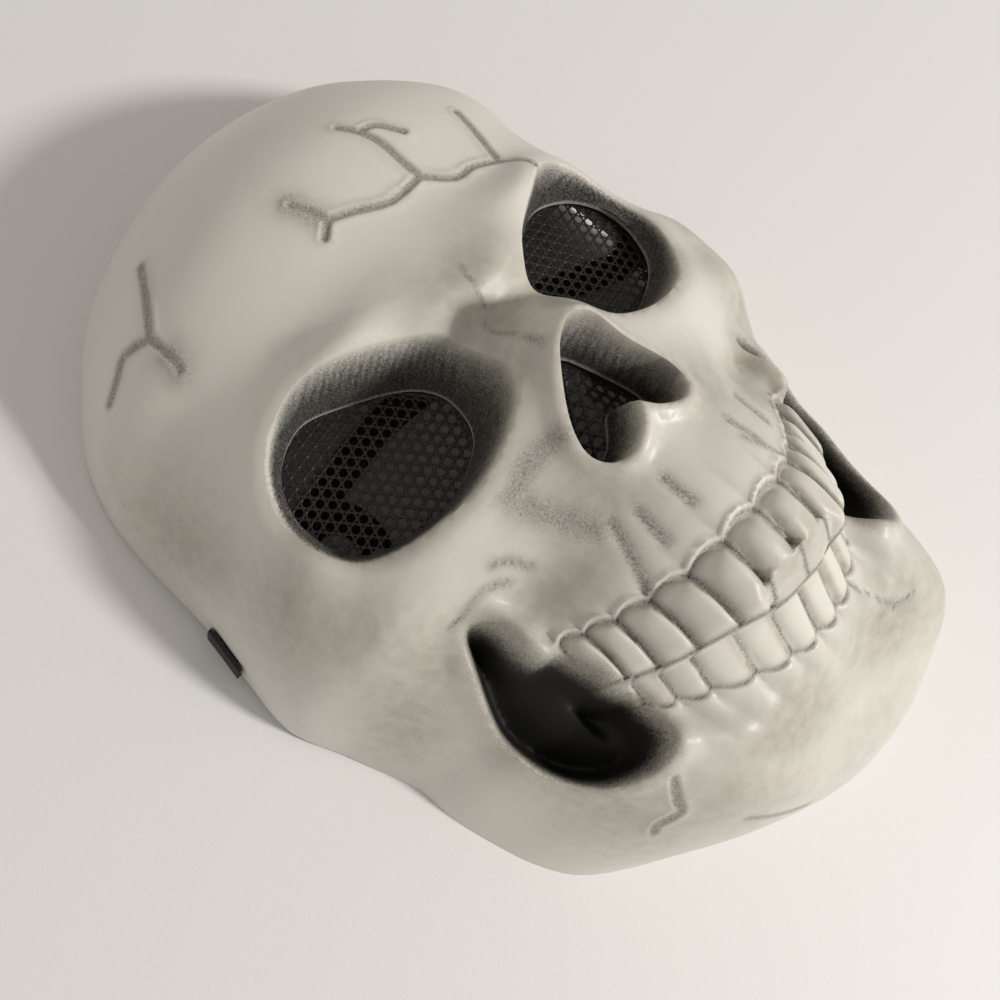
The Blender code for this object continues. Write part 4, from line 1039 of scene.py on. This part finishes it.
def knit_elastic(nodes, links, shader, across, along, twist, pale):
    """Ribs along the elastic and stitches across them, as colour and bump, with the crests painted paler
    as a painted highlight.
    """
    ribs = sums(nodes, links, "SINE", sums(nodes, links, "MULTIPLY", across, math.tau / RIB_PITCH), 0)
    steps = sums(nodes, links, "MULTIPLY", along, math.tau / STITCH_PITCH)
    if twist:
        steps = sums(nodes, links, "ADD", steps, sums(nodes, links, "MULTIPLY", ribs, twist))
    stitches = sums(nodes, links, "SINE", steps, 0)
    weave = sums(nodes, links, "ADD", sums(nodes, links, "MULTIPLY", ribs, 0.6), sums(
        nodes, links, "MULTIPLY", stitches, 0.4))
    # Painted highlight: the raised crests of the weave are coloured paler
    lit = sums(nodes, links, "ADD", sums(nodes, links, "MULTIPLY", weave, 0.4), 0.5, clamp=True)
    links.new(blend_colour(nodes, links, lit, ELASTIC_DEEP, pale), shader.inputs["Base Color"])
    shader.inputs["Roughness"].default_value = 0.8
    raise_surface(nodes, links, shader, weave, 0.8, 0.2 * MM)


knit, nodes, links, shader = new_material("black_knitted_elastic")
across = attribute(nodes, "strap_across")
along = attribute(nodes, "strap_along")
knit_elastic(nodes, links, shader, across, along, 1.2, ELASTIC_PALE)
shader.inputs["Sheen Weight"].default_value = 0.25
elastic_strap.data.materials.append(knit)
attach(elastic_strap, "root")
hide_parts("head_strap")

# The folds of elastic that grip the rim at the temples keep their solid's shape.
# They are the same black knitted elastic, doubled over the rim, with its ribs running up and down.
FOLD_PALE = (0.022, 0.022, 0.024)
fold, nodes, links, shader = new_material("black_elastic_fold")
place = nodes.new("ShaderNodeTexCoord").outputs["Object"]
parts = nodes.new("ShaderNodeSeparateXYZ")
links.new(place, parts.inputs[0])
knit_elastic(nodes, links, shader, parts.outputs[1], parts.outputs[2], 0, FOLD_PALE)
for node in ("strap_anchor_right", "strap_anchor_left"):
    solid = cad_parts[node]
    for slot in solid.material_slots:
        slot.material = fold

# A plain pale tabletop with a faint grain stands in for whatever the mask lies on.
# It runs well past the camera's view on every side.
TABLE_HALF = 3
TABLE_COLOUR = (0.745, 0.735, 0.72, 1)
floor = bmesh.new()
bmesh.ops.create_grid(floor, x_segments=4, y_segments=4, size=TABLE_HALF)
tabletop = make_object("tabletop", floor, smooth=False)
table_finish, nodes, links, shader = new_material("pale_tabletop")
place = nodes.new("ShaderNodeTexCoord").outputs["Object"]
shader.inputs["Base Color"].default_value = TABLE_COLOUR
shader.inputs["Roughness"].default_value = 0.6
raise_surface(nodes, links, shader, noise(nodes, links, place, 900, 2), 0.12, 0.4 * MM)
tabletop.data.materials.append(table_finish)

# One soft lamp stands low on the chin's side, in a pale warm surround.
# Its turn and rise follow the way that the mask's shadow falls.
LAMP_TURN = math.radians(291)
LAMP_RISE = math.radians(43)
LAMP_AWAY = 1.6
LAMP_WIDTH = 0.22
LAMP_WATTS = 18.5
SURROUND = 0.47
flat_reach = math.cos(LAMP_RISE)
towards = Vector((math.cos(LAMP_TURN) * flat_reach, math.sin(LAMP_TURN) * flat_reach, math.sin(LAMP_RISE)))
lamp_data = bpy.data.lights.new("lamp", "AREA")
lamp_data.shape = "DISK"
lamp_data.size = LAMP_WIDTH
lamp_data.energy = LAMP_WATTS
lamp_data.color = (1.0, 0.985, 0.95)
lamp = bpy.data.objects.new("lamp", lamp_data)
lamp.location = towards * LAMP_AWAY
lamp.rotation_euler = towards.to_track_quat("Z", "Y").to_euler()
bpy.context.scene.collection.objects.link(lamp)
world = bpy.data.worlds.new("surround")
world.use_nodes = True
world.node_tree.nodes["Background"].inputs["Color"].default_value = (1.0, 0.96, 0.89, 1)
world.node_tree.nodes["Background"].inputs["Strength"].default_value = SURROUND
bpy.context.scene.world = world
bpy.context.scene.view_settings.view_transform = "Standard"

# The camera looks down over the right temple, rolled so that the chin points to the lower right.
# Its focal length is in pixels of an image 1000 pixels wide.
CAMERA_TURN = math.radians(-85.684)
CAMERA_RISE = math.radians(70.750)
CAMERA_ROLL = math.radians(39.288)
CAMERA_PLACE = (-0.10465, -0.00730, 0.29118)
IMAGE_PIXELS = 1000
FOCAL_PIXELS = 1054.59
SENSOR = 36
flat_reach = math.cos(CAMERA_RISE)
back = Vector((math.sin(CAMERA_TURN) * flat_reach, -math.cos(CAMERA_TURN) * flat_reach,
               math.sin(CAMERA_RISE)))
level = Vector((math.cos(CAMERA_TURN), math.sin(CAMERA_TURN), 0))
upright = back.cross(level)
right = level * math.cos(CAMERA_ROLL) + upright * math.sin(CAMERA_ROLL)
up = upright * math.cos(CAMERA_ROLL) - level * math.sin(CAMERA_ROLL)
camera_data = bpy.data.cameras.new("camera")
camera_data.sensor_width = SENSOR
camera_data.lens = FOCAL_PIXELS / IMAGE_PIXELS * SENSOR
camera = bpy.data.objects.new("camera", camera_data)
turned = Matrix((right, up, back)).transposed().to_4x4()
camera.matrix_world = Matrix.Translation(CAMERA_PLACE) @ turned
bpy.context.scene.collection.objects.link(camera)
bpy.context.scene.camera = camera
